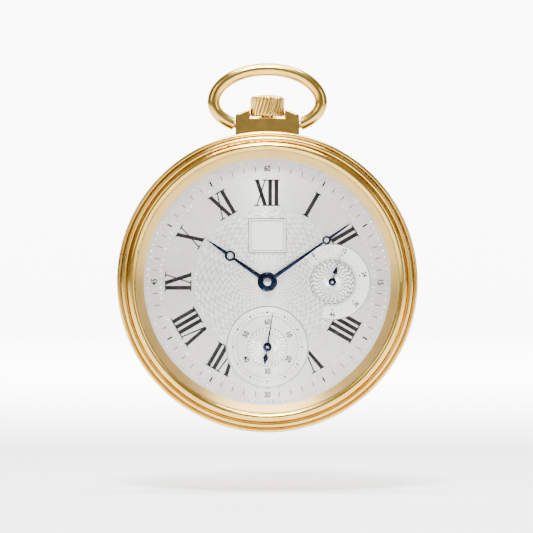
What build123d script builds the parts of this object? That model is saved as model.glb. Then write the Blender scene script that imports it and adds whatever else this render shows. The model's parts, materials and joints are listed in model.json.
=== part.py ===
from build123d import *

import os
from math import atan2, cos, degrees, radians, sin, sqrt

# Open face pocket watch, all sizes in millimetres.
# +Z points to 12 o'clock and +X to 3 o'clock. The dial faces -Y and the case back faces +Y.
# The origin is the centre of the case back's flat outer face.
# "Height" means the distance from that face towards the dial, so a height h lies at y = -h.
# "At" is an arbor's place seen from the dial side, as (x, z).

# ---------------------------------------------------------------- driving dimensions

# case
CASE_RADIUS = 23.5
CASE_INNER_RADIUS = 20.6
BEZEL_RADIUS = 22.7
BEZEL_OPENING_RADIUS = 20.5
BAND_LOW = 1.2
BAND_HIGH = 8.3
BEZEL_HIGH = 9.7
CRYSTAL_HIGH = 10.3
BACK_WALL = 0.8
BACK_FLAT_RADIUS = 19.5

# dial and hands
DIAL_LOW = 6.7
DIAL_HIGH = 7.1
DIAL_RADIUS = 20.2
DIAL_VISIBLE_RADIUS = 19.3
SUBDIAL_DISTANCE = 10.16
SUBDIAL_SINK = 0.1
SECONDS_SUBDIAL_RADIUS = 6.45
RESERVE_SUBDIAL_RADIUS = 3.5
HOUR_ANGLE = 55.1        # degrees left of 12 o'clock
MINUTE_ANGLE = -54.9
SECONDS_ANGLE = -9.2
RESERVE_ANGLE = -16.8
HOUR_HAND_LOW = 7.5
MINUTE_HAND_LOW = 7.85
SMALL_HAND_LOW = 7.14
HAND_THICKNESS = 0.15

# pendant, crown and bow
STEM_HEIGHT = 4.0
PENDANT_HALF_WIDTH = 5.0
PENDANT_HALF_DEPTH = 2.4
PENDANT_TOP = 27.1
PENDANT_SADDLE = 25.8
PENDANT_SADDLE_HALF_WIDTH = 2.6
CROWN_RADIUS = 2.68
CROWN_LOW = 25.95
CROWN_HIGH = 29.4
BOW_PIVOT = 24.75
BOW_WIRE_RADIUS = 1.0
BOW_HALF_WIDTH = 8.45
BOW_WIDEST = 28.2
BOW_RISE = 5.2
BOW_DROP = 4.35
BOW_PIN_RADIUS = 0.6

# movement
MOVEMENT_RADIUS = 18.3
BRIDGE_LOW = 1.1
PLATE_LOW = 2.5
CAVITY_HIGH = 4.5
PLATE_HIGH = 5.8
RUNNING_FIT = 0.03
PIVOT_RADIUS = 0.11
JEWEL_RADIUS = 0.7
ARBOR_RADIUS = 0.25

# gear teeth, in modules and in shares of the tooth pitch
ADDENDUM = 0.8
DEDENDUM = 1.1
ROOT_HALF_WIDTH = 0.29
TIP_HALF_WIDTH = 0.13


# ---------------------------------------------------------------- helpers

def polar(radius, angle, centre=(0, 0)):
    """Point at an angle in degrees, counter-clockwise from 3 o'clock seen from the dial side."""
    return (centre[0] + radius * cos(radians(angle)), centre[1] + radius * sin(radians(angle)))


def direction(start, end):
    """Angle in degrees from one arbor to another."""
    return degrees(atan2(end[1] - start[1], end[0] - start[0]))


def distance(start, end):
    """Distance between two arbors."""
    return sqrt((end[0] - start[0]) ** 2 + (end[1] - start[1]) ** 2)


def meshed_phase(phase, teeth, other_teeth, heading):
    """Phase of a wheel that is in mesh with one of known phase, lying in the given heading."""
    return heading + 180 - 180 / other_teeth + (heading - phase) * teeth / other_teeth


def flat_plane(height, at=(0, 0), turn=0):
    """Plane parallel to the dial: local x is +X, local y is +Z, and it rises towards the dial."""
    heading = (cos(radians(turn)), 0, sin(radians(turn)))
    return Plane(origin=(at[0], -height, at[1]), x_dir=heading, z_dir=(0, -1, 0))


def section_plane(at=(0, 0)):
    """Plane through an arbor: local x is the radius and local y is the height."""
    return Plane(origin=(at[0], 0, at[1]), x_dir=(1, 0, 0), z_dir=(0, 0, -1))


def stem_plane():
    """Plane through the stem: local x is the radius and local y is Z."""
    return Plane(origin=(0, -STEM_HEIGHT, 0), x_dir=(1, 0, 0), z_dir=(0, -1, 0))


def turn(outline, at=(0, 0), mode=Mode.ADD):
    """Turn a closed outline of (radius, height) points about the arbor at `at`."""
    with BuildSketch(section_plane(at)) as section:
        with BuildLine():
            Polyline(*outline, close=True)
        make_face()
    revolve(section.sketch, axis=Axis((at[0], 0, at[1]), (0, -1, 0)), mode=mode)


def turn_on_stem(outline, mode=Mode.ADD):
    """Turn a closed outline of (radius, z) points about the winding stem's axis."""
    with BuildSketch(stem_plane()) as section:
        with BuildLine():
            Polyline(*outline, close=True)
        make_face()
    revolve(section.sketch, axis=Axis((0, -STEM_HEIGHT, 0), (0, 0, 1)), mode=mode)


def disc(radius, low, high, at=(0, 0), mode=Mode.ADD):
    """Disc between two heights."""
    with BuildSketch(flat_plane(low, at)) as outline:
        Circle(radius)
    extrude(outline.sketch, amount=high - low, mode=mode)


def ring(inner, outer, low, high, at=(0, 0), mode=Mode.ADD):
    """Flat ring between two heights."""
    with BuildSketch(flat_plane(low, at)) as outline:
        Circle(outer)
        Circle(inner, mode=Mode.SUBTRACT)
    extrude(outline.sketch, amount=high - low, mode=mode)


def plate(points, low, high, mode=Mode.ADD, corner=0.0):
    """Flat plate with a polygon outline of (x, z) points, its corners rounded."""
    with BuildSketch(flat_plane(low)) as outline:
        with BuildLine():
            Polyline(*points, close=True)
        make_face()
        if corner > 0:
            fillet(outline.vertices(), corner)
    extrude(outline.sketch, amount=high - low, mode=mode)


def toothed_disc(teeth, module, low, high, at=(0, 0), phase=0.0, mode=Mode.ADD):
    """Disc with straight-sided teeth, one of them at the angle `phase`."""
    pitch_radius = teeth * module / 2
    tip = pitch_radius + ADDENDUM * module
    root = pitch_radius - DEDENDUM * module
    step = 360 / teeth
    corners = []
    for tooth in range(teeth):
        middle = phase + tooth * step
        corners.append(polar(root, middle - ROOT_HALF_WIDTH * step))
        corners.append(polar(tip, middle - TIP_HALF_WIDTH * step))
        corners.append(polar(tip, middle + TIP_HALF_WIDTH * step))
        corners.append(polar(root, middle + ROOT_HALF_WIDTH * step))
    with BuildSketch(flat_plane(low, at)) as outline:
        with BuildLine():
            Polyline(*corners, close=True)
        make_face()
    extrude(outline.sketch, amount=high - low, mode=mode)


def spoke_windows(arms, arm_width, hub_radius, rim_radius, low, high, at=(0, 0), turned=0.0):
    """Cut the openings between a wheel's arms."""
    with BuildSketch(flat_plane(low, at, turned)) as openings:
        Circle(rim_radius)
        Circle(hub_radius, mode=Mode.SUBTRACT)
        for arm in range(arms):
            with Locations(Location((0, 0, 0), (0, 0, arm * 360 / arms))):
                Rectangle(rim_radius * 1.1, arm_width, align=(Align.MIN, Align.CENTER), mode=Mode.SUBTRACT)
    extrude(openings.sketch, amount=high - low, mode=Mode.SUBTRACT)


def pivoted_arbor(low, high, at, radius=ARBOR_RADIUS, pivot=0.4):
    """Arbor between two shoulders, with a thin pivot beyond each."""
    disc(radius, low, high, at)
    disc(PIVOT_RADIUS, low - pivot, low, at)
    disc(PIVOT_RADIUS, high, high + pivot, at)


def spiral_band(inner_radius, pitch, half_turns, thickness, low, high, at=(0, 0), turned=0.0):
    """Spiral spring of half-circle turns that starts, and after an even number ends, at one angle."""
    half = thickness / 2
    with BuildSketch(flat_plane(low, at, turned)) as band:
        with BuildLine():
            for index in range(half_turns):
                centre_x = (index % 2) * pitch / 2
                radius = inner_radius + index * pitch / 2
                start_angle = (index % 2) * 180
                CenterArc((centre_x, 0), radius + half, start_angle, 180)
                CenterArc((centre_x, 0), radius - half, start_angle, 180)
            Line((inner_radius - half, 0), (inner_radius + half, 0))
            outer_radius = inner_radius + half_turns * pitch / 2
            end_side = 1 if half_turns % 2 == 0 else -1
            end_middle = outer_radius if end_side > 0 else outer_radius - pitch / 2
            Line((end_side * (end_middle - half), 0), (end_side * (end_middle + half), 0))
        make_face()
    extrude(band.sketch, amount=high - low)


def slotted_screw(at, low, head_radius, head_high, shank_radius, high, slot_turn=0.0):
    """Screw driven from the back: slotted head first, then its shank."""
    disc(head_radius, low, head_high, at)
    disc(shank_radius, head_high, high, at)
    with BuildSketch(flat_plane(low, at, slot_turn)) as slot:
        Rectangle(2.2 * head_radius, 0.22 * head_radius)
    extrude(slot.sketch, amount=0.4 * (head_high - low), mode=Mode.SUBTRACT)


def save(piece, name):
    """Label a finished piece and write it as parts/NAME.step."""
    piece.part.label = name
    export_step(piece.part, "parts/" + name + ".step")


os.makedirs("parts", exist_ok=True)

# ---------------------------------------------------------------- arbors and gears

CENTRE_AT = (0, 0)
FOURTH_AT = (0, -SUBDIAL_DISTANCE)
RESERVE_AT = (SUBDIAL_DISTANCE, 0)

# teeth and modules of the going train
BARREL_TEETH = 96
CENTRE_LEAVES = 14
BARREL_MODULE = 0.162
CENTRE_TEETH = 80
THIRD_LEAVES = 10
CENTRE_MODULE = 0.145
THIRD_TEETH = 75
FOURTH_LEAVES = 10
THIRD_MODULE = 0.12
FOURTH_TEETH = 80
ESCAPE_LEAVES = 8
FOURTH_MODULE = 0.095
ESCAPE_TEETH = 15
ESCAPE_RADIUS = 2.3

# motion works under the dial: 12 to 36, then 10 to 40, which is 12 to 1
CANNON_LEAVES = 12
MINUTE_TEETH = 36
CANNON_MODULE = 0.15
MINUTE_LEAVES = 10
HOUR_TEETH = 40
HOUR_MODULE = 0.144
SETTING_TEETH = 28

# winding works
WINDING_TEETH = 18
CROWN_WHEEL_TEETH = 40
RATCHET_TEETH = 66
WINDING_MODULE = 0.2

# up-and-down indicator
RESERVE_TEETH = 60
RESERVE_LEAVES = 10
RESERVE_MODULE = 0.12
RESERVE_IDLER_TEETH = 40

BARREL_AT = polar((BARREL_TEETH + CENTRE_LEAVES) * BARREL_MODULE / 2, 25)
THIRD_DISTANCE = (CENTRE_TEETH + THIRD_LEAVES) * CENTRE_MODULE / 2
FOURTH_DISTANCE = (THIRD_TEETH + FOURTH_LEAVES) * THIRD_MODULE / 2


def meeting_point(first, first_radius, second, second_radius, side):
    """Point at given distances from two arbors, on the side +1 or -1 of the line between them."""
    span = distance(first, second)
    along = (first_radius ** 2 - second_radius ** 2 + span ** 2) / (2 * span)
    across = side * sqrt(first_radius ** 2 - along ** 2)
    heading = direction(first, second)
    foot = polar(along, heading, first)
    return polar(across, heading + 90, foot)


THIRD_AT = meeting_point(CENTRE_AT, THIRD_DISTANCE, FOURTH_AT, FOURTH_DISTANCE, -1)
ESCAPE_AT = polar((FOURTH_TEETH + ESCAPE_LEAVES) * FOURTH_MODULE / 2, 200, FOURTH_AT)
PALLET_DISTANCE = ESCAPE_RADIUS / cos(radians(30))
PALLET_AT = polar(PALLET_DISTANCE, 160, ESCAPE_AT)
BALANCE_HEADING = 125
ROLLER_RADIUS = 0.85
PALLET_TO_BALANCE = 3.4
BALANCE_AT = polar(PALLET_TO_BALANCE, BALANCE_HEADING, PALLET_AT)
BALANCE_RADIUS = 4.9

MINUTE_WHEEL_AT = (0, (CANNON_LEAVES + MINUTE_TEETH) * CANNON_MODULE / 2)
SETTING_WHEEL_AT = (0, MINUTE_WHEEL_AT[1] + (MINUTE_TEETH + SETTING_TEETH) * CANNON_MODULE / 2)

# the crown wheel's arbor crosses the stem's line, as far from the ratchet wheel as their teeth ask
RATCHET_TO_CROWN = (CROWN_WHEEL_TEETH + RATCHET_TEETH) * WINDING_MODULE / 2
CROWN_WHEEL_AT = (0, BARREL_AT[1] + sqrt(RATCHET_TO_CROWN ** 2 - BARREL_AT[0] ** 2))
WINDING_PINION_MIDDLE = CROWN_WHEEL_AT[1] + CROWN_WHEEL_TEETH * WINDING_MODULE / 2
RESERVE_IDLER_AT = polar((RESERVE_TEETH + RESERVE_LEAVES) * RESERVE_MODULE / 2, 60, RESERVE_AT)

# heights of the wheels, low and high
CENTRE_WHEEL_SPAN = (2.58, 2.78)
THIRD_WHEEL_SPAN = (3.75, 3.95)
FOURTH_WHEEL_SPAN = (3.2, 3.4)
ESCAPE_WHEEL_SPAN = (4.05, 4.25)
BALANCE_SPAN = (2.55, 2.95)
BARREL_SPAN = (2.88, 4.42)
CROWN_WHEEL_SPAN = (1.75, 2.13)
MINUTE_WHEEL_SPAN = (5.95, 6.15)
HOUR_WHEEL_SPAN = (6.3, 6.5)

# ---------------------------------------------------------------- case

with BuildPart() as case_middle:
    # band with a rounded outer side, a rounded front ring and rebates for the back and the bezel
    with BuildSketch(section_plane()) as band:
        with BuildLine():
            Polyline((21.2, BAND_LOW), (22.4, BAND_LOW))
            ThreePointArc((22.4, BAND_LOW), (23.2, 3.0), (CASE_RADIUS, 5.2))
            Line((CASE_RADIUS, 5.2), (CASE_RADIUS, 7.9))
            ThreePointArc((CASE_RADIUS, 7.9), (23.12, BAND_HIGH), (22.75, 7.9))
            Polyline(
                (22.75, 7.9), (22.75, 7.2), (21.5, 7.2), (21.5, 6.5), (CASE_INNER_RADIUS, 6.5),
                (CASE_INNER_RADIUS, 2.4), (20.1, 2.4), (20.1, 1.95), (21.2, 1.95), (21.2, BAND_LOW),
            )
        make_face()
    revolve(axis=Axis((0, 0, 0), (0, -1, 0)))
    with BuildSketch(Plane.XY.offset(18)):
        with Locations((0, -STEM_HEIGHT)):
            Circle(1.0)
    extrude(amount=8, mode=Mode.SUBTRACT)
save(case_middle, "case_middle")

with BuildPart() as pendant:
    # block with a saddle for the crown, drilled across for the bow and along for the pendant tube
    with BuildSketch(flat_plane(STEM_HEIGHT - PENDANT_HALF_DEPTH)) as outline:
        with BuildLine():
            Polyline(
                (-PENDANT_HALF_WIDTH, 22.0), (-PENDANT_HALF_WIDTH, 26.2), (-3.4, 26.9),
                (-PENDANT_SADDLE_HALF_WIDTH - 0.2, PENDANT_TOP), (-PENDANT_SADDLE_HALF_WIDTH, PENDANT_SADDLE),
                (PENDANT_SADDLE_HALF_WIDTH, PENDANT_SADDLE), (PENDANT_SADDLE_HALF_WIDTH + 0.2, PENDANT_TOP),
                (3.4, 26.9), (PENDANT_HALF_WIDTH, 26.2), (PENDANT_HALF_WIDTH, 22.0), close=True,
            )
        make_face()
        fillet(outline.vertices().group_by(Axis.Y)[2], 0.6)
    extrude(amount=2 * PENDANT_HALF_DEPTH)
    broad_faces = pendant.faces().filter_by(Axis.Y)
    chamfer(broad_faces.edges().sort_by(Axis.Z)[2:], 0.25)
    with BuildSketch(Plane.XY.offset(18)):
        with Locations((0, -STEM_HEIGHT)):
            Circle(1.0)
    extrude(amount=10, mode=Mode.SUBTRACT)
    with BuildSketch(Plane.YZ.offset(-6)):
        with Locations((-STEM_HEIGHT, BOW_PIVOT)):
            Circle(BOW_PIN_RADIUS + RUNNING_FIT)
    extrude(amount=2.4, mode=Mode.SUBTRACT)
    with BuildSketch(Plane.YZ.offset(3.6)):
        with Locations((-STEM_HEIGHT, BOW_PIVOT)):
            Circle(BOW_PIN_RADIUS + RUNNING_FIT)
    extrude(amount=2.4, mode=Mode.SUBTRACT)
    disc(CASE_RADIUS + 0.02, 0, 12, mode=Mode.SUBTRACT)
save(pendant, "pendant")

with BuildPart() as pendant_tube:
    turn_on_stem([(0.6, 20.7), (1.0, 20.7), (1.0, 26.8), (0.6, 26.8)])
save(pendant_tube, "pendant_tube")

with BuildPart() as bezel:
    # two rounded rings with a groove between, a lip over the crystal and a snap skirt below
    with BuildSketch(section_plane()):
        with BuildLine():
            Polyline((BEZEL_OPENING_RADIUS, 8.85), (BEZEL_OPENING_RADIUS, 9.3))
            ThreePointArc((BEZEL_OPENING_RADIUS, 9.3), (21.15, BEZEL_HIGH), (21.8, 9.15))
            Line((21.8, 9.15), (21.86, 8.75))
            ThreePointArc((21.86, 8.75), (22.28, 9.05), (BEZEL_RADIUS, 8.6))
            Polyline(
                (BEZEL_RADIUS, 8.6), (BEZEL_RADIUS, 7.2), (21.5, 7.2), (21.5, 6.6), (21.12, 6.6),
                (21.12, 8.85), (BEZEL_OPENING_RADIUS, 8.85),
            )
        make_face()
    revolve(axis=Axis((0, 0, 0), (0, -1, 0)))
save(bezel, "bezel")

CRYSTAL_RADIUS = 20.45
CRYSTAL_FLANGE_RADIUS = 20.85
DOME_RISE = 0.95
UNDERSIDE_RISE = 0.3


def dome(radius, rise, top):
    """Arc from a dome's edge to its top on the arbor line, for a dome of given radius and rise."""
    sphere = (radius ** 2 + rise ** 2) / (2 * rise)
    span = degrees(atan2(radius, sphere - rise))
    return CenterArc((0, top - sphere), sphere, 90 - span, span)


with BuildPart() as crystal:
    # domed crystal with a step that the bezel's lip holds
    underside_top = 8.25 + UNDERSIDE_RISE
    with BuildSketch(section_plane()):
        with BuildLine() as outline:
            add(dome(CRYSTAL_RADIUS, DOME_RISE, CRYSTAL_HIGH))
            add(dome(CRYSTAL_FLANGE_RADIUS, UNDERSIDE_RISE, underside_top))
            Line((0, CRYSTAL_HIGH), (0, underside_top))
            Polyline(
                (CRYSTAL_FLANGE_RADIUS, 8.25), (CRYSTAL_FLANGE_RADIUS, 8.85),
                (CRYSTAL_RADIUS, 8.85), (CRYSTAL_RADIUS, CRYSTAL_HIGH - DOME_RISE),
            )
        make_face()
    revolve(axis=Axis((0, 0, 0), (0, -1, 0)))
save(crystal, "crystal")

with BuildPart() as crystal_gasket:
    ring(20.85, 21.12, 8.25, 8.85)
save(crystal_gasket, "crystal_gasket")

with BuildPart() as dial_flange:
    # sloped ring between the dial and the crystal
    turn([(DIAL_VISIBLE_RADIUS, DIAL_HIGH), (21.1, DIAL_HIGH), (21.1, 8.25), (20.4, 8.25)])
save(dial_flange, "dial_flange")

with BuildPart() as case_back:
    # shallow dished back with a snap rim
    with BuildSketch(section_plane()):
        with BuildLine():
            Polyline((0, BACK_WALL), (0, 0), (BACK_FLAT_RADIUS, 0))
            ThreePointArc((BACK_FLAT_RADIUS, 0), (21.4, 0.4), (22.3, 1.15))
            Polyline((22.3, 1.15), (21.05, 1.15), (21.05, 1.85), (20.4, 1.85), (20.4, 1.15))
            ThreePointArc((20.4, 1.15), (19.9, 0.9), (19.3, BACK_WALL))
            Line((19.3, BACK_WALL), (0, BACK_WALL))
        make_face()
    revolve(axis=Axis((0, 0, 0), (0, -1, 0)))
save(case_back, "case_back")

with BuildPart() as back_gasket:
    ring(21.06, 21.18, 1.3, 1.6)
save(back_gasket, "back_gasket")

with BuildPart() as movement_ring:
    # ring that centres the movement in the case, notched for the stem and the clamps
    ring(MOVEMENT_RADIUS + 0.05, CASE_INNER_RADIUS - 0.05, 2.4, DIAL_LOW - 0.2)
    turn_on_stem([(0, 17), (0.7, 17), (0.7, 22), (0, 22)], mode=Mode.SUBTRACT)
save(movement_ring, "movement_ring")

CLAMP_ANGLES = (35, 145, 270)
CLAMP_SCREW_RADIUS = 17.0

with BuildPart() as case_clamps:
    # short tabs that reach from the plate's rim under the case's inner lip
    for angle in CLAMP_ANGLES:
        with BuildSketch(flat_plane(1.6, turn=angle)):
            with Locations((CLAMP_SCREW_RADIUS + 1.1, 0)):
                SlotOverall(4.2, 1.9)
            with Locations((CLAMP_SCREW_RADIUS, 0)):
                Circle(0.45, mode=Mode.SUBTRACT)
        extrude(amount=0.3)
save(case_clamps, "case_clamps")

with BuildPart() as case_clamp_screws:
    for angle in CLAMP_ANGLES:
        slotted_screw(polar(CLAMP_SCREW_RADIUS, angle), 1.2, 0.8, 1.6, 0.4, 3.6, slot_turn=angle + 30)
save(case_clamp_screws, "case_clamp_screws")

# how far round its lower half-ellipse the bow's wire goes before it meets its pins
BOW_WRAP_SINE = (BOW_WIDEST - BOW_PIVOT) / BOW_DROP
BOW_WRAP = degrees(atan2(BOW_WRAP_SINE, sqrt(1 - BOW_WRAP_SINE ** 2)))
bow_end = BOW_HALF_WIDTH * cos(radians(BOW_WRAP))

with BuildPart() as bow:
    # oval loop of round wire whose ends turn in to the pendant's holes
    with BuildLine(stem_plane()) as path:
        EllipticalCenterArc(
            (0, BOW_WIDEST), BOW_HALF_WIDTH, BOW_DROP, start_angle=-BOW_WRAP, arc_size=BOW_WRAP,
        )
        EllipticalCenterArc((0, BOW_WIDEST), BOW_HALF_WIDTH, BOW_RISE, start_angle=0, arc_size=180)
        EllipticalCenterArc((0, BOW_WIDEST), BOW_HALF_WIDTH, BOW_DROP, start_angle=180, arc_size=BOW_WRAP)
    with BuildSketch(Plane(origin=path.line @ 0, z_dir=path.line % 0)):
        Circle(BOW_WIRE_RADIUS)
    sweep()
    with BuildSketch(flat_plane(STEM_HEIGHT - 2)):
        with Locations((0, BOW_PIVOT)):
            Rectangle(2 * PENDANT_HALF_WIDTH + 0.3, 4)
    extrude(amount=4, mode=Mode.SUBTRACT)
    for side in (-1, 1):
        with BuildSketch(Plane.YZ.offset(side * 3.7)):
            with Locations((-STEM_HEIGHT, BOW_PIVOT)):
                Circle(BOW_PIN_RADIUS)
        extrude(amount=side * (bow_end + 0.6 - 3.7))
save(bow, "bow")

# ---------------------------------------------------------------- crown and stem

with BuildPart() as crown:
    # fluted crown, hollow below for the pendant tube and tapped for the stem
    with BuildSketch(stem_plane()):
        with BuildLine():
            Polyline((0, 28.2), (0, CROWN_HIGH))
            ThreePointArc((0, CROWN_HIGH), (1.4, CROWN_HIGH - 0.08), (2.3, CROWN_HIGH - 0.35))
            Polyline((2.3, CROWN_HIGH - 0.35), (CROWN_RADIUS, 28.8), (CROWN_RADIUS, 26.7), (2.3, CROWN_LOW))
            Polyline((2.3, CROWN_LOW), (1.05, CROWN_LOW), (1.05, 27.9), (0.5, 27.9), (0.5, 28.2), (0, 28.2))
        make_face()
    revolve(axis=Axis((0, -STEM_HEIGHT, 0), (0, 0, 1)))
    for flute in range(24):
        with BuildSketch(Plane.XY.offset(26.9)):
            with Locations((0, -STEM_HEIGHT)):
                with PolarLocations(CROWN_RADIUS + 0.12, 1, start_angle=flute * 15):
                    Circle(0.22)
        extrude(amount=1.9, mode=Mode.SUBTRACT)
save(crown, "crown")

SQUARE_SIDE = 0.8
SQUARE_LOW = 10.5
STEM_SHOULDER = 14.0
GROOVE_MIDDLE = 16.9

with BuildPart() as winding_stem:
    # lower pilot, square for the sliding pinion, round bearing, lever groove and threaded top
    turn_on_stem([
        (0, STEM_SHOULDER), (0.57, STEM_SHOULDER), (0.57, GROOVE_MIDDLE - 0.35), (0.35, GROOVE_MIDDLE - 0.35),
        (0.35, GROOVE_MIDDLE + 0.35), (0.5, GROOVE_MIDDLE + 0.35), (0.5, 28.2), (0, 28.2),
    ])
    with BuildSketch(Plane.XY.offset(SQUARE_LOW)):
        with Locations((0, -STEM_HEIGHT)):
            Rectangle(SQUARE_SIDE, SQUARE_SIDE)
    extrude(amount=STEM_SHOULDER - SQUARE_LOW)
    turn_on_stem([(0, 8.2), (0.3, 8.2), (0.3, SQUARE_LOW), (0, SQUARE_LOW)])
save(winding_stem, "winding_stem")

WINDING_PINION_LOW = WINDING_PINION_MIDDLE - 0.6
WINDING_PINION_HIGH = WINDING_PINION_MIDDLE + 0.55
WINDING_PITCH_RADIUS = WINDING_TEETH * WINDING_MODULE / 2

with BuildPart() as winding_pinion:
    # spur teeth round the outside and ratchet teeth on the inner end
    step = 360 / WINDING_TEETH
    corners = []
    for tooth in range(WINDING_TEETH):
        middle = 90 + (tooth + 0.5) * step
        corners.append(polar(WINDING_PITCH_RADIUS - 0.25, middle - 0.28 * step))
        corners.append(polar(WINDING_PITCH_RADIUS + 0.16, middle - 0.12 * step))
        corners.append(polar(WINDING_PITCH_RADIUS + 0.16, middle + 0.12 * step))
        corners.append(polar(WINDING_PITCH_RADIUS - 0.25, middle + 0.28 * step))
    with BuildSketch(Plane(origin=(0, -STEM_HEIGHT, WINDING_PINION_LOW))) as outline:
        with BuildLine():
            Polyline(*corners, close=True)
        make_face()
        Circle(0.6, mode=Mode.SUBTRACT)
    extrude(amount=WINDING_PINION_HIGH - WINDING_PINION_LOW)
    with BuildSketch(Plane(origin=(0, -STEM_HEIGHT, WINDING_PINION_LOW - 0.25))):
        for tooth in range(6):
            with Locations(Location((0, 0, 0), (0, 0, tooth * 60))):
                with Locations((1.0, 0)):
                    Rectangle(0.55, 0.45)
    extrude(amount=0.25)
save(winding_pinion, "winding_pinion")

SLIDING_LOW = 11.7
SLIDING_HIGH = WINDING_PINION_LOW - 0.05
SLIDING_GROOVE = 12.7

with BuildPart() as sliding_pinion:
    # square bore, a groove for the yoke, ratchet teeth above and setting teeth below
    turn_on_stem([
        (0, SLIDING_LOW), (1.35, SLIDING_LOW), (1.35, SLIDING_GROOVE - 0.3), (0.85, SLIDING_GROOVE - 0.3),
        (0.85, SLIDING_GROOVE + 0.3), (1.35, SLIDING_GROOVE + 0.3), (1.35, SLIDING_HIGH), (0, SLIDING_HIGH),
    ])
    with BuildSketch(Plane(origin=(0, -STEM_HEIGHT, SLIDING_LOW))) as bore:
        Rectangle(SQUARE_SIDE + 0.04, SQUARE_SIDE + 0.04)
    extrude(amount=4, mode=Mode.SUBTRACT)
    with BuildSketch(Plane(origin=(0, -STEM_HEIGHT, SLIDING_HIGH - 0.28))):
        for tooth in range(6):
            with Locations(Location((0, 0, 0), (0, 0, tooth * 60))):
                with Locations((1.1, 0)):
                    Rectangle(0.8, 0.55)
    extrude(amount=1, mode=Mode.SUBTRACT)
    with BuildSketch(Plane(origin=(0, -STEM_HEIGHT, SLIDING_LOW))):
        for tooth in range(12):
            with Locations(Location((0, 0, 0), (0, 0, tooth * 30))):
                with Locations((1.3, 0)):
                    Rectangle(0.4, 0.3)
    extrude(amount=0.3, mode=Mode.SUBTRACT)
save(sliding_pinion, "sliding_pinion")

LEVER_PIVOT = (2.8, 16.9)
YOKE_PIVOT = (-3.6, 12.0)
LEVER_SPAN = (5.5, 5.7)
LEVER_SINK = 5.45
SETTING_SINK = 5.05
LEVER_PIN_RADIUS = 0.3

with BuildPart() as setting_lever:
    # lever on the dial side with a pin down into the stem's groove
    plate(
        [(-0.5, 16.5), (2.4, 16.2), (4.6, 15.2), (4.9, 15.9), (3.4, 17.3), (-0.5, 17.3)],
        *LEVER_SPAN, corner=0.25,
    )
    disc(0.25, 4.42, LEVER_SPAN[0], (0, GROOVE_MIDDLE))
    disc(0.4, LEVER_SPAN[0], LEVER_SPAN[1], LEVER_PIVOT)
    disc(LEVER_PIN_RADIUS, 4.9, LEVER_SPAN[0], LEVER_PIVOT)
save(setting_lever, "setting_lever")

with BuildPart() as yoke:
    # arm whose turned-down end rides in the sliding pinion's groove
    plate(
        [(-4.1, 11.4), (-3.2, 11.4), (0.3, 12.45), (0.3, 12.95), (-3.4, 12.6), (-4.2, 12.4)],
        *LEVER_SPAN, corner=0.12,
    )
    plate([(-0.25, 12.5), (0.25, 12.5), (0.25, 12.9), (-0.25, 12.9)], 5.0, LEVER_SPAN[0])
    disc(LEVER_PIN_RADIUS, 4.9, LEVER_SPAN[0], YOKE_PIVOT)
save(yoke, "yoke")

with BuildPart() as setting_lever_spring:
    # cover plate that keeps the levers down, screwed at its outer end
    plate(
        [(3.4, 13.0), (5.4, 11.2), (6.2, 12.0), (5.6, 15.4), (4.2, 17.2), (1.6, 17.3), (2.6, 16.0)],
        5.72, 5.9, corner=0.2,
    )
    disc(0.5, 5.9, 6.1, (5.0, 13.4))
save(setting_lever_spring, "setting_lever_spring")

# ---------------------------------------------------------------- dial and hands

DIAL_FEET = ((-13.2, 8.6), (11.6, -12.0))

with BuildPart() as dial:
    # disc with sunk subdials, holes for the hands' arbors and two feet
    disc(DIAL_RADIUS, DIAL_LOW, DIAL_HIGH)
    disc(SECONDS_SUBDIAL_RADIUS, DIAL_HIGH - SUBDIAL_SINK, DIAL_HIGH, FOURTH_AT, Mode.SUBTRACT)
    disc(RESERVE_SUBDIAL_RADIUS, DIAL_HIGH - SUBDIAL_SINK, DIAL_HIGH, RESERVE_AT, Mode.SUBTRACT)
    disc(1.4, DIAL_LOW, DIAL_HIGH, CENTRE_AT, Mode.SUBTRACT)
    disc(0.35, DIAL_LOW, DIAL_HIGH, FOURTH_AT, Mode.SUBTRACT)
    disc(0.35, DIAL_LOW, DIAL_HIGH, RESERVE_AT, Mode.SUBTRACT)
    for foot in DIAL_FEET:
        disc(0.45, 4.6, DIAL_LOW, foot)
save(dial, "dial")

PLAQUE_AT = (0, 7.22)
PLAQUE_WIDTH = 5.9
PLAQUE_HEIGHT = 5.4

with BuildPart() as dial_plaque:
    # applied rectangular plaque with a raised border
    with BuildSketch(flat_plane(DIAL_HIGH, PLAQUE_AT)):
        Rectangle(PLAQUE_WIDTH, PLAQUE_HEIGHT)
    extrude(amount=0.2)
    with BuildSketch(flat_plane(DIAL_HIGH + 0.1, PLAQUE_AT)):
        Rectangle(PLAQUE_WIDTH - 0.5, PLAQUE_HEIGHT - 0.5)
    extrude(amount=0.2, mode=Mode.SUBTRACT)
save(dial_plaque, "dial_plaque")


def breguet_hand(
    low, turned, hub_radius, bore, ring_at, ring_outer, ring_inner, tip_at, width_hub, width_ring,
):
    """Hand with a pierced ring near its tip, pointing along local y, turned from 12 o'clock."""
    with BuildSketch(flat_plane(low, turn=turned)) as outline:
        with BuildLine():
            Polyline(
                (-width_hub, 0), (-width_ring, ring_at), (-width_ring * 1.1, ring_at + ring_outer),
                (-0.05, tip_at), (0.05, tip_at), (width_ring * 1.1, ring_at + ring_outer),
                (width_ring, ring_at), (width_hub, 0), close=True,
            )
        make_face()
        Circle(hub_radius)
        with Locations((0, ring_at)):
            Circle(ring_outer)
            Circle(ring_inner, mode=Mode.SUBTRACT)
        Circle(bore, mode=Mode.SUBTRACT)
    extrude(outline.sketch, amount=HAND_THICKNESS)


HOUR_TUBE_RADIUS = 1.2
CANNON_TUBE_RADIUS = 0.8
CANNON_TIP_RADIUS = 0.6

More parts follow.
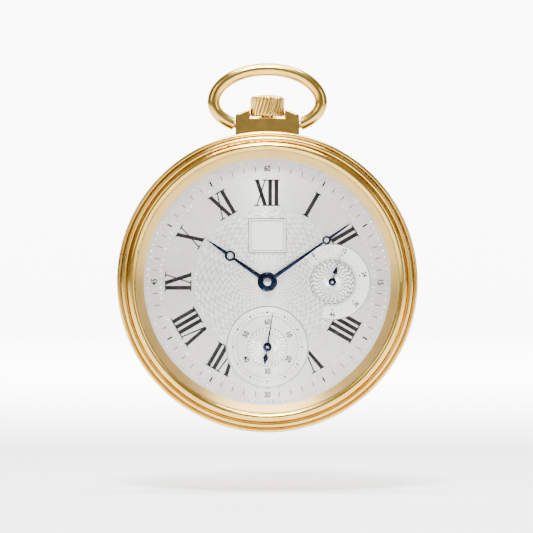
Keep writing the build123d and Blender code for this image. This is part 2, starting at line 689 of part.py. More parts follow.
with BuildPart() as hour_hand:
    breguet_hand(HOUR_HAND_LOW, HOUR_ANGLE, 1.55, HOUR_TUBE_RADIUS, 7.08, 0.83, 0.59, 11.6, 0.36, 0.14)
save(hour_hand, "hour_hand")

with BuildPart() as minute_hand:
    breguet_hand(MINUTE_HAND_LOW, MINUTE_ANGLE, 1.3, CANNON_TIP_RADIUS, 11.29, 0.67, 0.45, 16.0, 0.34, 0.12)
save(minute_hand, "minute_hand")

with BuildPart() as seconds_hand:
    # thin hand with a diamond counterweight
    with BuildSketch(flat_plane(SMALL_HAND_LOW, FOURTH_AT, SECONDS_ANGLE)) as outline:
        with BuildLine():
            Polyline(
                (-0.16, 0), (-0.05, 5.5), (0.05, 5.5), (0.16, 0), (0.14, -1.0), (0.42, -1.9),
                (0, -2.76), (-0.42, -1.9), (-0.14, -1.0), close=True,
            )
        make_face()
        Circle(0.7)
        Circle(0.2, mode=Mode.SUBTRACT)
    extrude(amount=0.1)
save(seconds_hand, "seconds_hand")

with BuildPart() as reserve_hand:
    # thin pointer with a small arrowhead on its shank
    with BuildSketch(flat_plane(SMALL_HAND_LOW, RESERVE_AT, RESERVE_ANGLE)) as outline:
        with BuildLine():
            Polyline(
                (-0.1, 0), (-0.1, 1.45), (-0.4, 1.5), (-0.08, 2.45), (-0.04, 4.7),
                (0.04, 4.7), (0.08, 2.45), (0.4, 1.5), (0.1, 1.45), (0.1, 0), close=True,
            )
        make_face()
        Circle(0.62)
        Circle(0.2, mode=Mode.SUBTRACT)
    extrude(amount=0.1)
save(reserve_hand, "reserve_hand")

# ---------------------------------------------------------------- motion works

CANNON_PHASE = 90.0
MINUTE_WHEEL_PHASE = meshed_phase(CANNON_PHASE, CANNON_LEAVES, MINUTE_TEETH, 90)
HOUR_PHASE = 0.0
MINUTE_PINION_PHASE = meshed_phase(HOUR_PHASE, HOUR_TEETH, MINUTE_LEAVES, 90)
SETTING_PHASE = meshed_phase(MINUTE_WHEEL_PHASE, MINUTE_TEETH, SETTING_TEETH, 90)

with BuildPart() as cannon_pinion:
    # leaves below, a tube through the hour wheel and a polished tip above the minute hand
    toothed_disc(CANNON_LEAVES, CANNON_MODULE, 5.85, 6.2, phase=CANNON_PHASE)
    disc(0.74, 6.2, 6.3)
    disc(CANNON_TUBE_RADIUS, 6.3, MINUTE_HAND_LOW)
    disc(CANNON_TIP_RADIUS, MINUTE_HAND_LOW, 8.12)
    disc(0.3, 5.85, 7.6, mode=Mode.SUBTRACT)
save(cannon_pinion, "cannon_pinion")

with BuildPart() as hour_wheel:
    toothed_disc(HOUR_TEETH, HOUR_MODULE, *HOUR_WHEEL_SPAN, phase=HOUR_PHASE)
    disc(HOUR_TUBE_RADIUS, HOUR_WHEEL_SPAN[1], HOUR_HAND_LOW + HAND_THICKNESS)
    disc(CANNON_TUBE_RADIUS + RUNNING_FIT, HOUR_WHEEL_SPAN[0], 7.7, mode=Mode.SUBTRACT)
save(hour_wheel, "hour_wheel")

with BuildPart() as minute_wheel:
    toothed_disc(MINUTE_TEETH, CANNON_MODULE, *MINUTE_WHEEL_SPAN, MINUTE_WHEEL_AT, MINUTE_WHEEL_PHASE)
    toothed_disc(
        MINUTE_LEAVES, HOUR_MODULE, MINUTE_WHEEL_SPAN[1], HOUR_WHEEL_SPAN[1],
        MINUTE_WHEEL_AT, MINUTE_PINION_PHASE,
    )
    disc(0.25 + RUNNING_FIT, 5.9, 6.6, MINUTE_WHEEL_AT, Mode.SUBTRACT)
save(minute_wheel, "minute_wheel")

with BuildPart() as setting_wheel:
    # two toothed rims on one hub, the lower one level with the sliding pinion's end
    toothed_disc(SETTING_TEETH, CANNON_MODULE, 5.1, 5.35, SETTING_WHEEL_AT, SETTING_PHASE)
    disc(1.2, 5.35, MINUTE_WHEEL_SPAN[0], SETTING_WHEEL_AT)
    toothed_disc(SETTING_TEETH, CANNON_MODULE, *MINUTE_WHEEL_SPAN, SETTING_WHEEL_AT, SETTING_PHASE)
    disc(0.5 + RUNNING_FIT, 5.0, 6.3, SETTING_WHEEL_AT, Mode.SUBTRACT)
save(setting_wheel, "setting_wheel")

# ---------------------------------------------------------------- plate and bridges

BARREL_SCREWS = ((-13.5, 6.0), (-5.6, 14.9), (11.6, 11.9), (15.2, -3.6))
TRAIN_SCREWS = ((6.5, -13.2), (12.5, -9.2), (-3.2, -15.9))
COCK_SCREWS = ((-12.8, 0.2),)
BRIDGE_SCREWS = BARREL_SCREWS + TRAIN_SCREWS + COCK_SCREWS
PALLET_SCREW = polar(2.7, 215, PALLET_AT)
SCREW_HEAD_RADIUS = 0.95
SCREW_HEAD_LOW = 1.15
SCREW_HEAD_HIGH = 1.65
SCREW_SHANK_RADIUS = 0.45
SCREW_END = 4.2
JEWEL_SPAN = (1.3, 1.7)
PLATE_JEWEL_SPAN = (4.9, 5.3)
ARBOR_LOW = 1.73
ARBOR_HIGH = 4.87

with BuildPart() as main_plate:
    # disc milled from the back for the wheels and from the dial side for the keyless works
    disc(MOVEMENT_RADIUS, PLATE_LOW, PLATE_HIGH)
    disc(8.15, PLATE_LOW, CAVITY_HIGH, BARREL_AT, Mode.SUBTRACT)
    disc(6.15, PLATE_LOW, 2.84, CENTRE_AT, Mode.SUBTRACT)
    disc(1.7, PLATE_LOW, CAVITY_HIGH, CENTRE_AT, Mode.SUBTRACT)
    disc(4.85, PLATE_LOW, CAVITY_HIGH, THIRD_AT, Mode.SUBTRACT)
    disc(4.1, PLATE_LOW, CAVITY_HIGH, FOURTH_AT, Mode.SUBTRACT)
    disc(2.65, PLATE_LOW, CAVITY_HIGH, ESCAPE_AT, Mode.SUBTRACT)
    disc(5.2, PLATE_LOW, 3.05, BALANCE_AT, Mode.SUBTRACT)
    disc(1.9, PLATE_LOW, CAVITY_HIGH, PALLET_AT, Mode.SUBTRACT)
    disc(1.6, PLATE_LOW, CAVITY_HIGH, BALANCE_AT, Mode.SUBTRACT)
    with BuildSketch(flat_plane(3.0, polar(1.5, 215, PALLET_AT), 215)):
        SlotOverall(5.4, 2.0)
    extrude(amount=0.55, mode=Mode.SUBTRACT)
    for arbor in (THIRD_AT, FOURTH_AT, ESCAPE_AT, PALLET_AT, BALANCE_AT):
        disc(JEWEL_RADIUS, CAVITY_HIGH, PLATE_HIGH, arbor, Mode.SUBTRACT)
    disc(0.5, CAVITY_HIGH, PLATE_HIGH, CENTRE_AT, Mode.SUBTRACT)
    disc(0.8, CAVITY_HIGH, PLATE_HIGH, BARREL_AT, Mode.SUBTRACT)
    # keyless works: opening for the pinions, sinks for the levers and the setting wheel
    plate([(-2.05, 10.4), (2.05, 10.4), (2.05, 15.6), (-2.05, 15.6)], PLATE_LOW, PLATE_HIGH, Mode.SUBTRACT)
    plate(
        [
            (-5.2, 10.9), (6.6, 10.9), (6.6, 14.0), (5.4, 17.0), (4.0, 18.5), (-1.2, 18.5),
            (-1.2, 14.5), (-5.2, 13.6),
        ],
        LEVER_SINK, PLATE_HIGH, Mode.SUBTRACT,
    )
    disc(2.4, SETTING_SINK, PLATE_HIGH, SETTING_WHEEL_AT, Mode.SUBTRACT)
    disc(0.5, SETTING_SINK, 6.25, SETTING_WHEEL_AT)
    disc(0.25, PLATE_HIGH, 6.55, MINUTE_WHEEL_AT)
    disc(0.3, PLATE_HIGH, 6.45, RESERVE_IDLER_AT)
    plate(
        [(-0.32, 16.3), (0.48, 16.3), (0.48, 18.15), (-0.32, 18.15)],
        STEM_HEIGHT, LEVER_SPAN[0], Mode.SUBTRACT,
    )
    for pivot in (LEVER_PIVOT, YOKE_PIVOT):
        disc(LEVER_PIN_RADIUS + RUNNING_FIT, 4.8, LEVER_SINK, pivot, Mode.SUBTRACT)
    turn_on_stem([(0, 15.4), (0.6, 15.4), (0.6, 19), (0, 19)], Mode.SUBTRACT)
    turn_on_stem([(0, 7.9), (0.33, 7.9), (0.33, 10.6), (0, 10.6)], Mode.SUBTRACT)
    disc(0.2 + RUNNING_FIT, 5.2, PLATE_HIGH, RESERVE_AT, Mode.SUBTRACT)
    for foot in DIAL_FEET:
        disc(0.45, 4.6, PLATE_HIGH, foot, Mode.SUBTRACT)
    for screw in BRIDGE_SCREWS:
        disc(SCREW_SHANK_RADIUS, PLATE_LOW, SCREW_END, screw, Mode.SUBTRACT)
    disc(0.3, 3.5, SCREW_END, PALLET_SCREW, Mode.SUBTRACT)
    for angle in CLAMP_ANGLES:
        disc(0.4, PLATE_LOW, 3.6, polar(CLAMP_SCREW_RADIUS, angle), Mode.SUBTRACT)
save(main_plate, "main_plate")


def bridge_holes(screws, jewelled, low=BRIDGE_LOW):
    """Counterbored screw holes and through holes for jewels in a bridge."""
    for screw in screws:
        disc(SCREW_HEAD_RADIUS, low, SCREW_HEAD_HIGH, screw, Mode.SUBTRACT)
        disc(SCREW_SHANK_RADIUS, low, PLATE_LOW, screw, Mode.SUBTRACT)
    for arbor in jewelled:
        disc(JEWEL_RADIUS, low, PLATE_LOW, arbor, Mode.SUBTRACT)


def rim_notches():
    """Notches in a bridge's rim that clear the case clamps."""
    for angle in CLAMP_ANGLES:
        disc(1.6, BRIDGE_LOW, PLATE_LOW, polar(CLAMP_SCREW_RADIUS + 0.4, angle), Mode.SUBTRACT)


BRIDGE_RADIUS = MOVEMENT_RADIUS - 0.1
CLICK_PIVOT = polar(7.9, 100, BARREL_AT)
CLICK_POST_RADIUS = 0.35

with BuildPart() as barrel_bridge:
    # large bridge over the barrel and the centre wheel, sunk for the ratchet and crown wheels
    plate(
        [(-19, 3.4), (-2.6, 3.4), (-2.2, -2.2), (3.0, -2.2), (19, -6.5), (19, 19), (-19, 19)],
        BRIDGE_LOW, PLATE_LOW, corner=0.8,
    )
    disc(BRIDGE_RADIUS, BRIDGE_LOW, PLATE_LOW, mode=Mode.INTERSECT)
    disc(6.95, BRIDGE_LOW, CROWN_WHEEL_SPAN[1], BARREL_AT, Mode.SUBTRACT)
    disc(4.4, BRIDGE_LOW, CROWN_WHEEL_SPAN[1], CROWN_WHEEL_AT, Mode.SUBTRACT)
    disc(0.9 + RUNNING_FIT, BRIDGE_LOW, PLATE_LOW, BARREL_AT, Mode.SUBTRACT)
    disc(0.4, BRIDGE_LOW, PLATE_LOW, CROWN_WHEEL_AT, Mode.SUBTRACT)
    plate([(-2.05, 13.2), (2.05, 13.2), (2.05, 15.6), (-2.05, 15.6)], 1.9, PLATE_LOW, Mode.SUBTRACT)
    plate(
        [(4.6, 10.0), (10.0, 9.6), (10.2, 11.6), (8.6, 13.4), (5.0, 13.2)],
        BRIDGE_LOW, CROWN_WHEEL_SPAN[1], Mode.SUBTRACT,
    )
    disc(CLICK_POST_RADIUS, 1.5, 2.3, CLICK_PIVOT)
    bridge_holes(BARREL_SCREWS, (CENTRE_AT,))
    rim_notches()
save(barrel_bridge, "barrel_bridge")

with BuildPart() as train_bridge:
    plate([(3.2, -2.9), (-3.6, -2.9), (-3.2, -19), (19, -19), (19, -7.3)], BRIDGE_LOW, PLATE_LOW, corner=0.6)
    plate([(-6.5, -12.9), (-3.0, -10.0), (-3.0, -19), (-6.5, -19)], BRIDGE_LOW, PLATE_LOW)
    disc(1.3, BRIDGE_LOW, PLATE_LOW, ESCAPE_AT)
    disc(BRIDGE_RADIUS, BRIDGE_LOW, PLATE_LOW, mode=Mode.INTERSECT)
    bridge_holes(TRAIN_SCREWS, (THIRD_AT, FOURTH_AT, ESCAPE_AT))
    rim_notches()
save(train_bridge, "train_bridge")

with BuildPart() as pallet_bridge:
    # small cock over the pallet fork's arbor, under the balance
    with BuildSketch(flat_plane(3.1, polar(1.5, 215, PALLET_AT), 215)) as outline:
        SlotOverall(4.8, 1.6)
    extrude(amount=0.45)
    disc(PIVOT_RADIUS + RUNNING_FIT, 3.1, 3.55, PALLET_AT, Mode.SUBTRACT)
    disc(0.3, 3.1, 3.55, PALLET_SCREW, Mode.SUBTRACT)
save(pallet_bridge, "pallet_bridge")

COCK_FOOT = COCK_SCREWS[0]
STUD_HEADING = direction(BALANCE_AT, COCK_FOOT)

with BuildPart() as balance_cock:
    # foot on the plate and an arm over the balance, with the hairspring's stud
    arm_heading = direction(COCK_FOOT, BALANCE_AT)
    plate(
        [(-18.5, 2.8), (-7.4, 2.8), (-8.6, -1.4), (-12.0, -2.0), (-18.5, -1.6)],
        BRIDGE_LOW, PLATE_LOW, corner=0.5,
    )
    with BuildSketch(flat_plane(BRIDGE_LOW, polar(4.4, arm_heading, COCK_FOOT), arm_heading)) as arm:
        SlotOverall(distance(COCK_FOOT, BALANCE_AT) + 4.4, 4.2)
    extrude(amount=0.8)
    disc(BRIDGE_RADIUS, BRIDGE_LOW, PLATE_LOW, mode=Mode.INTERSECT)
    disc(1.1, BRIDGE_LOW, PLATE_LOW, BALANCE_AT, Mode.SUBTRACT)
    disc(0.25, 1.8, 2.35, polar(3.6, STUD_HEADING, BALANCE_AT))
    bridge_holes(COCK_SCREWS, ())
save(balance_cock, "balance_cock")

with BuildPart() as bridge_screws:
    for index, screw in enumerate(BRIDGE_SCREWS):
        slotted_screw(
            screw, SCREW_HEAD_LOW, SCREW_HEAD_RADIUS, SCREW_HEAD_HIGH,
            SCREW_SHANK_RADIUS, SCREW_END, index * 37,
        )
    slotted_screw(PALLET_SCREW, 2.98, 0.5, 3.1, 0.3, SCREW_END)
save(bridge_screws, "bridge_screws")

with BuildPart() as jewels:
    # ring jewels in the bridges and the plate
    for arbor in (CENTRE_AT, THIRD_AT, FOURTH_AT, ESCAPE_AT):
        ring(PIVOT_RADIUS + RUNNING_FIT, JEWEL_RADIUS, *JEWEL_SPAN, arbor)
    for arbor in (THIRD_AT, FOURTH_AT, ESCAPE_AT, PALLET_AT, BALANCE_AT):
        ring(PIVOT_RADIUS + RUNNING_FIT, JEWEL_RADIUS, *PLATE_JEWEL_SPAN, arbor)
    ring(PIVOT_RADIUS + RUNNING_FIT, 1.1, *JEWEL_SPAN, BALANCE_AT)
save(jewels, "jewels")

# ---------------------------------------------------------------- winding works

CROWN_WHEEL_PHASE = 90.0
RATCHET_PHASE = meshed_phase(
    CROWN_WHEEL_PHASE, CROWN_WHEEL_TEETH, RATCHET_TEETH, direction(CROWN_WHEEL_AT, BARREL_AT),
)

with BuildPart() as crown_wheel:
    toothed_disc(CROWN_WHEEL_TEETH, WINDING_MODULE, *CROWN_WHEEL_SPAN, CROWN_WHEEL_AT, CROWN_WHEEL_PHASE)
    disc(1.1, CROWN_WHEEL_SPAN[0], CROWN_WHEEL_SPAN[1], CROWN_WHEEL_AT, Mode.SUBTRACT)
save(crown_wheel, "crown_wheel")

with BuildPart() as crown_wheel_screw:
    # shouldered screw that the crown wheel turns on
    disc(1.1 - RUNNING_FIT, 1.7, CROWN_WHEEL_SPAN[1], CROWN_WHEEL_AT)
    slotted_screw(CROWN_WHEEL_AT, 1.3, 1.5, 1.7, 0.4, 2.45)
save(crown_wheel_screw, "crown_wheel_screw")

with BuildPart() as ratchet_wheel:
    toothed_disc(RATCHET_TEETH, WINDING_MODULE, *CROWN_WHEEL_SPAN, BARREL_AT, RATCHET_PHASE)
    with BuildSketch(flat_plane(CROWN_WHEEL_SPAN[0], BARREL_AT)):
        Rectangle(1.1, 1.1)
    extrude(amount=CROWN_WHEEL_SPAN[1] - CROWN_WHEEL_SPAN[0], mode=Mode.SUBTRACT)
save(ratchet_wheel, "ratchet_wheel")

with BuildPart() as ratchet_screw:
    slotted_screw(BARREL_AT, 1.25, 1.3, 1.75, 0.35, 2.6, 20)
save(ratchet_screw, "ratchet_screw")

RATCHET_TIP_RADIUS = (RATCHET_TEETH / 2 + ADDENDUM) * WINDING_MODULE
CLICK_TIP = polar(RATCHET_TIP_RADIUS + 0.06, 85, BARREL_AT)
CLICK_SPAN = (CROWN_WHEEL_SPAN[0], CROWN_WHEEL_SPAN[1] - 0.03)

with BuildPart() as click:
    # pawl whose beak stands at the ratchet wheel's tooth tips
    click_heading = direction(CLICK_PIVOT, CLICK_TIP)
    disc(0.75, *CLICK_SPAN, CLICK_PIVOT)
    plate(
        [
            polar(0.7, click_heading + 90, CLICK_PIVOT), polar(0.7, click_heading - 90, CLICK_PIVOT),
            CLICK_TIP, polar(0.35, click_heading + 70, CLICK_TIP),
        ],
        *CLICK_SPAN,
    )
    disc(CLICK_POST_RADIUS + RUNNING_FIT, 1.0, 2.5, CLICK_PIVOT, Mode.SUBTRACT)
save(click, "click")

with BuildPart() as click_spring:
    # bent strip beside the click, standing in the same sink
    plate([(5.25, 12.75), (6.8, 12.75), (9.3, 11.75), (9.35, 11.87), (6.85, 12.9), (5.25, 12.95)], 1.8, 2.13)
save(click_spring, "click_spring")

# ---------------------------------------------------------------- barrel

BARREL_DRUM_RADIUS = 7.3
BARREL_INNER_RADIUS = 7.05
BARREL_FLOOR = 4.17
COVER_HIGH = 3.05
BARREL_ARBOR_RADIUS = 0.9
BARREL_ARBOR_FOOT = 0.77
CENTRE_PHASE = meshed_phase(0, BARREL_TEETH, CENTRE_LEAVES, direction(BARREL_AT, CENTRE_AT))

with BuildPart() as barrel:
    toothed_disc(BARREL_TEETH, BARREL_MODULE, 4.1, BARREL_SPAN[1], BARREL_AT)
    disc(BARREL_DRUM_RADIUS, *BARREL_SPAN, BARREL_AT)
    disc(BARREL_INNER_RADIUS, BARREL_SPAN[0], BARREL_FLOOR, BARREL_AT, Mode.SUBTRACT)
    disc(BARREL_ARBOR_FOOT + RUNNING_FIT, *BARREL_SPAN, BARREL_AT, Mode.SUBTRACT)
save(barrel, "barrel")

with BuildPart() as barrel_cover:
    ring(BARREL_ARBOR_RADIUS + RUNNING_FIT, BARREL_INNER_RADIUS, BARREL_SPAN[0], COVER_HIGH, BARREL_AT)
save(barrel_cover, "barrel_cover")

with BuildPart() as mainspring:
    spiral_band(1.6, 0.44, 24, 0.13, 3.15, 4.1, BARREL_AT)
save(mainspring, "mainspring")

with BuildPart() as barrel_arbor:
    with BuildSketch(flat_plane(1.75, BARREL_AT)):
        Rectangle(1.1, 1.1)
    extrude(amount=0.5)
    disc(BARREL_ARBOR_RADIUS, CROWN_WHEEL_SPAN[1], 3.1, BARREL_AT)
    disc(1.4, 3.1, 4.12, BARREL_AT)
    disc(BARREL_ARBOR_FOOT, 4.12, 5.6, BARREL_AT)
    disc(0.35, 1.7, 2.6, BARREL_AT, Mode.SUBTRACT)
save(barrel_arbor, "barrel_arbor")

# ---------------------------------------------------------------- going train

WHEEL_SEAT_RADIUS = 0.4
THIRD_PHASE = meshed_phase(0, CENTRE_TEETH, THIRD_LEAVES, direction(CENTRE_AT, THIRD_AT))
FOURTH_PHASE = meshed_phase(0, THIRD_TEETH, FOURTH_LEAVES, direction(THIRD_AT, FOURTH_AT))
ESCAPE_PHASE = meshed_phase(0, FOURTH_TEETH, ESCAPE_LEAVES, direction(FOURTH_AT, ESCAPE_AT))

with BuildPart() as centre_wheel:
    toothed_disc(CENTRE_TEETH, CENTRE_MODULE, *CENTRE_WHEEL_SPAN)
    spoke_windows(4, 0.8, 1.3, 5.0, *CENTRE_WHEEL_SPAN)
    disc(WHEEL_SEAT_RADIUS, *CENTRE_WHEEL_SPAN, CENTRE_AT, Mode.SUBTRACT)
save(centre_wheel, "centre_wheel")

with BuildPart() as centre_pinion:
    # leaves driven by the barrel, and an arbor through to the cannon pinion
    toothed_disc(CENTRE_LEAVES, BARREL_MODULE, 4.0, 4.47, phase=CENTRE_PHASE)
    disc(PIVOT_RADIUS, 1.33, ARBOR_LOW)
    disc(ARBOR_RADIUS, ARBOR_LOW, CENTRE_WHEEL_SPAN[0])
    disc(WHEEL_SEAT_RADIUS, CENTRE_WHEEL_SPAN[0], 4.0)
    disc(0.47, 4.47, PLATE_HIGH)
    disc(0.27, PLATE_HIGH, 7.5)
save(centre_pinion, "centre_pinion")

with BuildPart() as third_wheel:
    toothed_disc(THIRD_TEETH, THIRD_MODULE, *THIRD_WHEEL_SPAN, THIRD_AT)
    spoke_windows(4, 0.6, 1.1, 3.8, *THIRD_WHEEL_SPAN, THIRD_AT, turned=20)
    disc(WHEEL_SEAT_RADIUS, *THIRD_WHEEL_SPAN, THIRD_AT, Mode.SUBTRACT)
save(third_wheel, "third_wheel")

with BuildPart() as third_pinion:
    toothed_disc(THIRD_LEAVES, CENTRE_MODULE, 2.53, 2.87, THIRD_AT, THIRD_PHASE)
    pivoted_arbor(ARBOR_LOW, ARBOR_HIGH, THIRD_AT)
    disc(WHEEL_SEAT_RADIUS, *THIRD_WHEEL_SPAN, THIRD_AT)
save(third_pinion, "third_pinion")

with BuildPart() as fourth_wheel:
    toothed_disc(FOURTH_TEETH, FOURTH_MODULE, *FOURTH_WHEEL_SPAN, FOURTH_AT)
    spoke_windows(4, 0.5, 1.0, 3.2, *FOURTH_WHEEL_SPAN, FOURTH_AT, turned=45)
    disc(WHEEL_SEAT_RADIUS, *FOURTH_WHEEL_SPAN, FOURTH_AT, Mode.SUBTRACT)
save(fourth_wheel, "fourth_wheel")

with BuildPart() as fourth_pinion:
    # the dial-side pivot is long and carries the seconds hand
    toothed_disc(FOURTH_LEAVES, THIRD_MODULE, 3.68, 4.02, FOURTH_AT, FOURTH_PHASE)
    pivoted_arbor(ARBOR_LOW, ARBOR_HIGH, FOURTH_AT)
    disc(WHEEL_SEAT_RADIUS, *FOURTH_WHEEL_SPAN, FOURTH_AT)
    disc(PIVOT_RADIUS, ARBOR_HIGH, PLATE_HIGH, FOURTH_AT)
    disc(0.2, PLATE_HIGH, 7.28, FOURTH_AT)
save(fourth_pinion, "fourth_pinion")

# a tooth tip stands six degrees to one side of each pallet
ESCAPE_TIP_ANGLE = 196

with BuildPart() as escape_wheel:
    # wheel of slanted pointed teeth, riveted on its own pinion
    step = 360 / ESCAPE_TEETH
    corners = []
    for tooth in range(ESCAPE_TEETH):
        tip_angle = ESCAPE_TIP_ANGLE + tooth * step
        corners.append(polar(1.75, tip_angle - 13))
        corners.append(polar(ESCAPE_RADIUS, tip_angle - 1.5))
        corners.append(polar(ESCAPE_RADIUS, tip_angle + 1.5))
        corners.append(polar(1.75, tip_angle - 1))
    with BuildSketch(flat_plane(ESCAPE_WHEEL_SPAN[0], ESCAPE_AT)) as outline:
        with BuildLine():
            Polyline(*corners, close=True)
        make_face()
    extrude(amount=ESCAPE_WHEEL_SPAN[1] - ESCAPE_WHEEL_SPAN[0])
    spoke_windows(4, 0.3, 0.55, 1.5, *ESCAPE_WHEEL_SPAN, ESCAPE_AT)
    toothed_disc(ESCAPE_LEAVES, FOURTH_MODULE, 3.13, 3.47, ESCAPE_AT, ESCAPE_PHASE)
    pivoted_arbor(ARBOR_LOW, ARBOR_HIGH, ESCAPE_AT, radius=0.2)
save(escape_wheel, "escape_wheel")

# ---------------------------------------------------------------- escapement and balance

PALLET_ANGLES = (130, 190)
FORK_NOTCH_HALF = 0.19


def beside(along, across):
    """Point on the pallet lever: along it towards the balance, and across it."""
    return polar(across, BALANCE_HEADING + 90, polar(along, BALANCE_HEADING, PALLET_AT))


with BuildPart() as pallet_fork:
    # lever with a notch for the impulse pin and two arms with a pallet stone each
    plate([beside(0, -0.3), beside(2.2, -0.14), beside(2.2, 0.14), beside(0, 0.3)], *ESCAPE_WHEEL_SPAN)
    for side in (-1, 1):
        inner = side * FORK_NOTCH_HALF
        outer = side * 0.36
        prong = [
            beside(1.9, 0), beside(2.1, outer), beside(2.8, outer), beside(2.8, inner), beside(2.3, inner),
        ]
        plate(prong, *ESCAPE_WHEEL_SPAN)
    for angle in PALLET_ANGLES:
        stone_inner = polar(ESCAPE_RADIUS + 0.05, angle, ESCAPE_AT)
        stone_outer = polar(ESCAPE_RADIUS + 0.6, angle, ESCAPE_AT)
        plate(
            [
                polar(0.13, angle - 90, stone_inner), polar(0.13, angle + 90, stone_inner),
                polar(0.13, angle + 90, stone_outer), polar(0.13, angle - 90, stone_outer),
            ],
            *ESCAPE_WHEEL_SPAN,
        )
        arm_heading = direction(PALLET_AT, stone_outer)
        plate(
            [
                polar(0.32, arm_heading + 90, PALLET_AT), polar(0.32, arm_heading - 90, PALLET_AT),
                polar(0.2, arm_heading - 60, stone_outer), polar(0.2, arm_heading + 60, stone_outer),
            ],
            *ESCAPE_WHEEL_SPAN,
        )
    disc(0.42, *ESCAPE_WHEEL_SPAN, PALLET_AT)
    pivoted_arbor(3.58, ARBOR_HIGH, PALLET_AT, radius=0.2)
save(pallet_fork, "pallet_fork")

with BuildPart() as balance_wheel:
    # rim with two arms on a staff, with the hairspring's collet, the roller and its impulse pin
    ring(BALANCE_RADIUS - 0.55, BALANCE_RADIUS, *BALANCE_SPAN, BALANCE_AT)
    with BuildSketch(flat_plane(2.65, BALANCE_AT, 70)) as arms:
        Rectangle(2 * BALANCE_RADIUS - 0.6, 0.7)
    extrude(amount=0.2)
    disc(0.5, 2.45, 3.0, BALANCE_AT)
    disc(0.44, 2.0, 2.35, BALANCE_AT)
    pivoted_arbor(ARBOR_LOW, ARBOR_HIGH, BALANCE_AT)
    disc(1.0, 3.62, 3.75, BALANCE_AT)
    disc(0.12, 3.75, 4.3, polar(ROLLER_RADIUS, BALANCE_HEADING + 180, BALANCE_AT))
save(balance_wheel, "balance_wheel")

with BuildPart() as hairspring:
    spiral_band(0.55, 0.3, 20, 0.06, 2.05, 2.3, BALANCE_AT, STUD_HEADING)
save(hairspring, "hairspring")

with BuildPart() as regulator:
    # index ring round the balance jewel, with a pointer along the cock
    pointer_heading = STUD_HEADING + 8
    ring(1.15, 1.6, 0.87, 1.08, BALANCE_AT)
    plate(
        [
            polar(1.5, pointer_heading + 12, BALANCE_AT), polar(1.5, pointer_heading - 12, BALANCE_AT),
            polar(5.6, pointer_heading - 0.6, BALANCE_AT), polar(5.6, pointer_heading + 0.6, BALANCE_AT),
        ],
        0.87, 1.08,
    )
save(regulator, "regulator")

# ---------------------------------------------------------------- up-and-down works on the dial side

RESERVE_IDLER_PHASE = meshed_phase(0, RESERVE_TEETH, RESERVE_LEAVES, 60)

with BuildPart() as reserve_wheel:
    # wheel on the reserve hand's arbor
    toothed_disc(RESERVE_TEETH, RESERVE_MODULE, 6.25, 6.4, RESERVE_AT)
    disc(0.2, 5.3, 5.83, RESERVE_AT)
    disc(0.5, 5.83, 6.5, RESERVE_AT)
    disc(0.2, 6.5, 7.28, RESERVE_AT)
save(reserve_wheel, "reserve_wheel")

with BuildPart() as reserve_idler:
    toothed_disc(RESERVE_IDLER_TEETH, RESERVE_MODULE, 5.9, 6.05, RESERVE_IDLER_AT)
    toothed_disc(RESERVE_LEAVES, RESERVE_MODULE, 6.05, 6.45, RESERVE_IDLER_AT, RESERVE_IDLER_PHASE)
    disc(0.3 + RUNNING_FIT, 5.8, 6.6, RESERVE_IDLER_AT, Mode.SUBTRACT)
save(reserve_idler, "reserve_idler")
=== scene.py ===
import json
import math

import bmesh
import bpy
from mathutils import Matrix, Vector


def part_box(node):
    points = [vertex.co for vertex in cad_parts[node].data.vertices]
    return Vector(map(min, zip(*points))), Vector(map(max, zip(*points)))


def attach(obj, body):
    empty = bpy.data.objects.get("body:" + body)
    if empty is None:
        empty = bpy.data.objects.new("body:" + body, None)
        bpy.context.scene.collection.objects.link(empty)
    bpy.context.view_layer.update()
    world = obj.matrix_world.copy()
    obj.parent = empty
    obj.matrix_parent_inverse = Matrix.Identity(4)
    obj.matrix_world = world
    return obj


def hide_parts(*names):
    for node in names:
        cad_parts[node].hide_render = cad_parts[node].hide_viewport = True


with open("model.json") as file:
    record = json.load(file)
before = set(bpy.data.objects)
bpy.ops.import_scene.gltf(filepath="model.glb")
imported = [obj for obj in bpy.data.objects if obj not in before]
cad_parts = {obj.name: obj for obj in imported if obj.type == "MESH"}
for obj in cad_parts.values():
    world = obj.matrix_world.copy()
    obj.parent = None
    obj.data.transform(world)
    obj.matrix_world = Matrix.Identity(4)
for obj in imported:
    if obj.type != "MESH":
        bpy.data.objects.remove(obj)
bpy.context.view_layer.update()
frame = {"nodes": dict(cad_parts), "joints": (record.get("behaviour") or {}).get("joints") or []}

bl_info = {
    "name": "Open face pocket watch",
    "version": (1, 0, 0),
    "blender": (4, 5, 0),
    "location": "3D View > Sidebar > Watch",
    "description": "Finishes an open face pocket watch round its packed frame",
    "category": "Object",
}

MM = 0.001
LATHE_STEPS = 256

# places and heights that the frame gives, in millimetres


def low_mm(node, axis):
    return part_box(node)[0][axis] / MM


def high_mm(node, axis):
    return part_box(node)[1][axis] / MM


DIAL_TOP = -low_mm("dial", 1)
CROWN_RADIUS = high_mm("crown", 0)
CROWN_LOW = low_mm("crown", 2)
CROWN_TOP = high_mm("crown", 2)
STEM_HEIGHT = -(low_mm("crown", 1) + high_mm("crown", 1)) / 2
JOINTS = {joint["name"]: joint for joint in frame["joints"]}
SECONDS_AT = (0.0, JOINTS["fourth_turn"]["pos_m"][2] / MM)
RESERVE_AT = (JOINTS["reserve_turn"]["pos_m"][0] / MM, 0.0)
HOUR_HAND_LOW = -high_mm("hour_hand", 1)
MINUTE_HAND_LOW = -high_mm("minute_hand", 1)
SMALL_HAND_LOW = -high_mm("seconds_hand", 1)
SINK = 0.1
SECONDS_RADIUS = 6.45
RESERVE_DISC_RADIUS = 3.5
TICK_RADIUS = 17.62
QUARTER_RADIUS = 17.66
OUTER_PEARLS = 18.7
TRACK_PEARLS = 16.7
INNER_PEARLS = 11.2
SECONDS_DOT_RADIUS = 5.4
SECONDS_NUMBER_RADIUS = 3.85
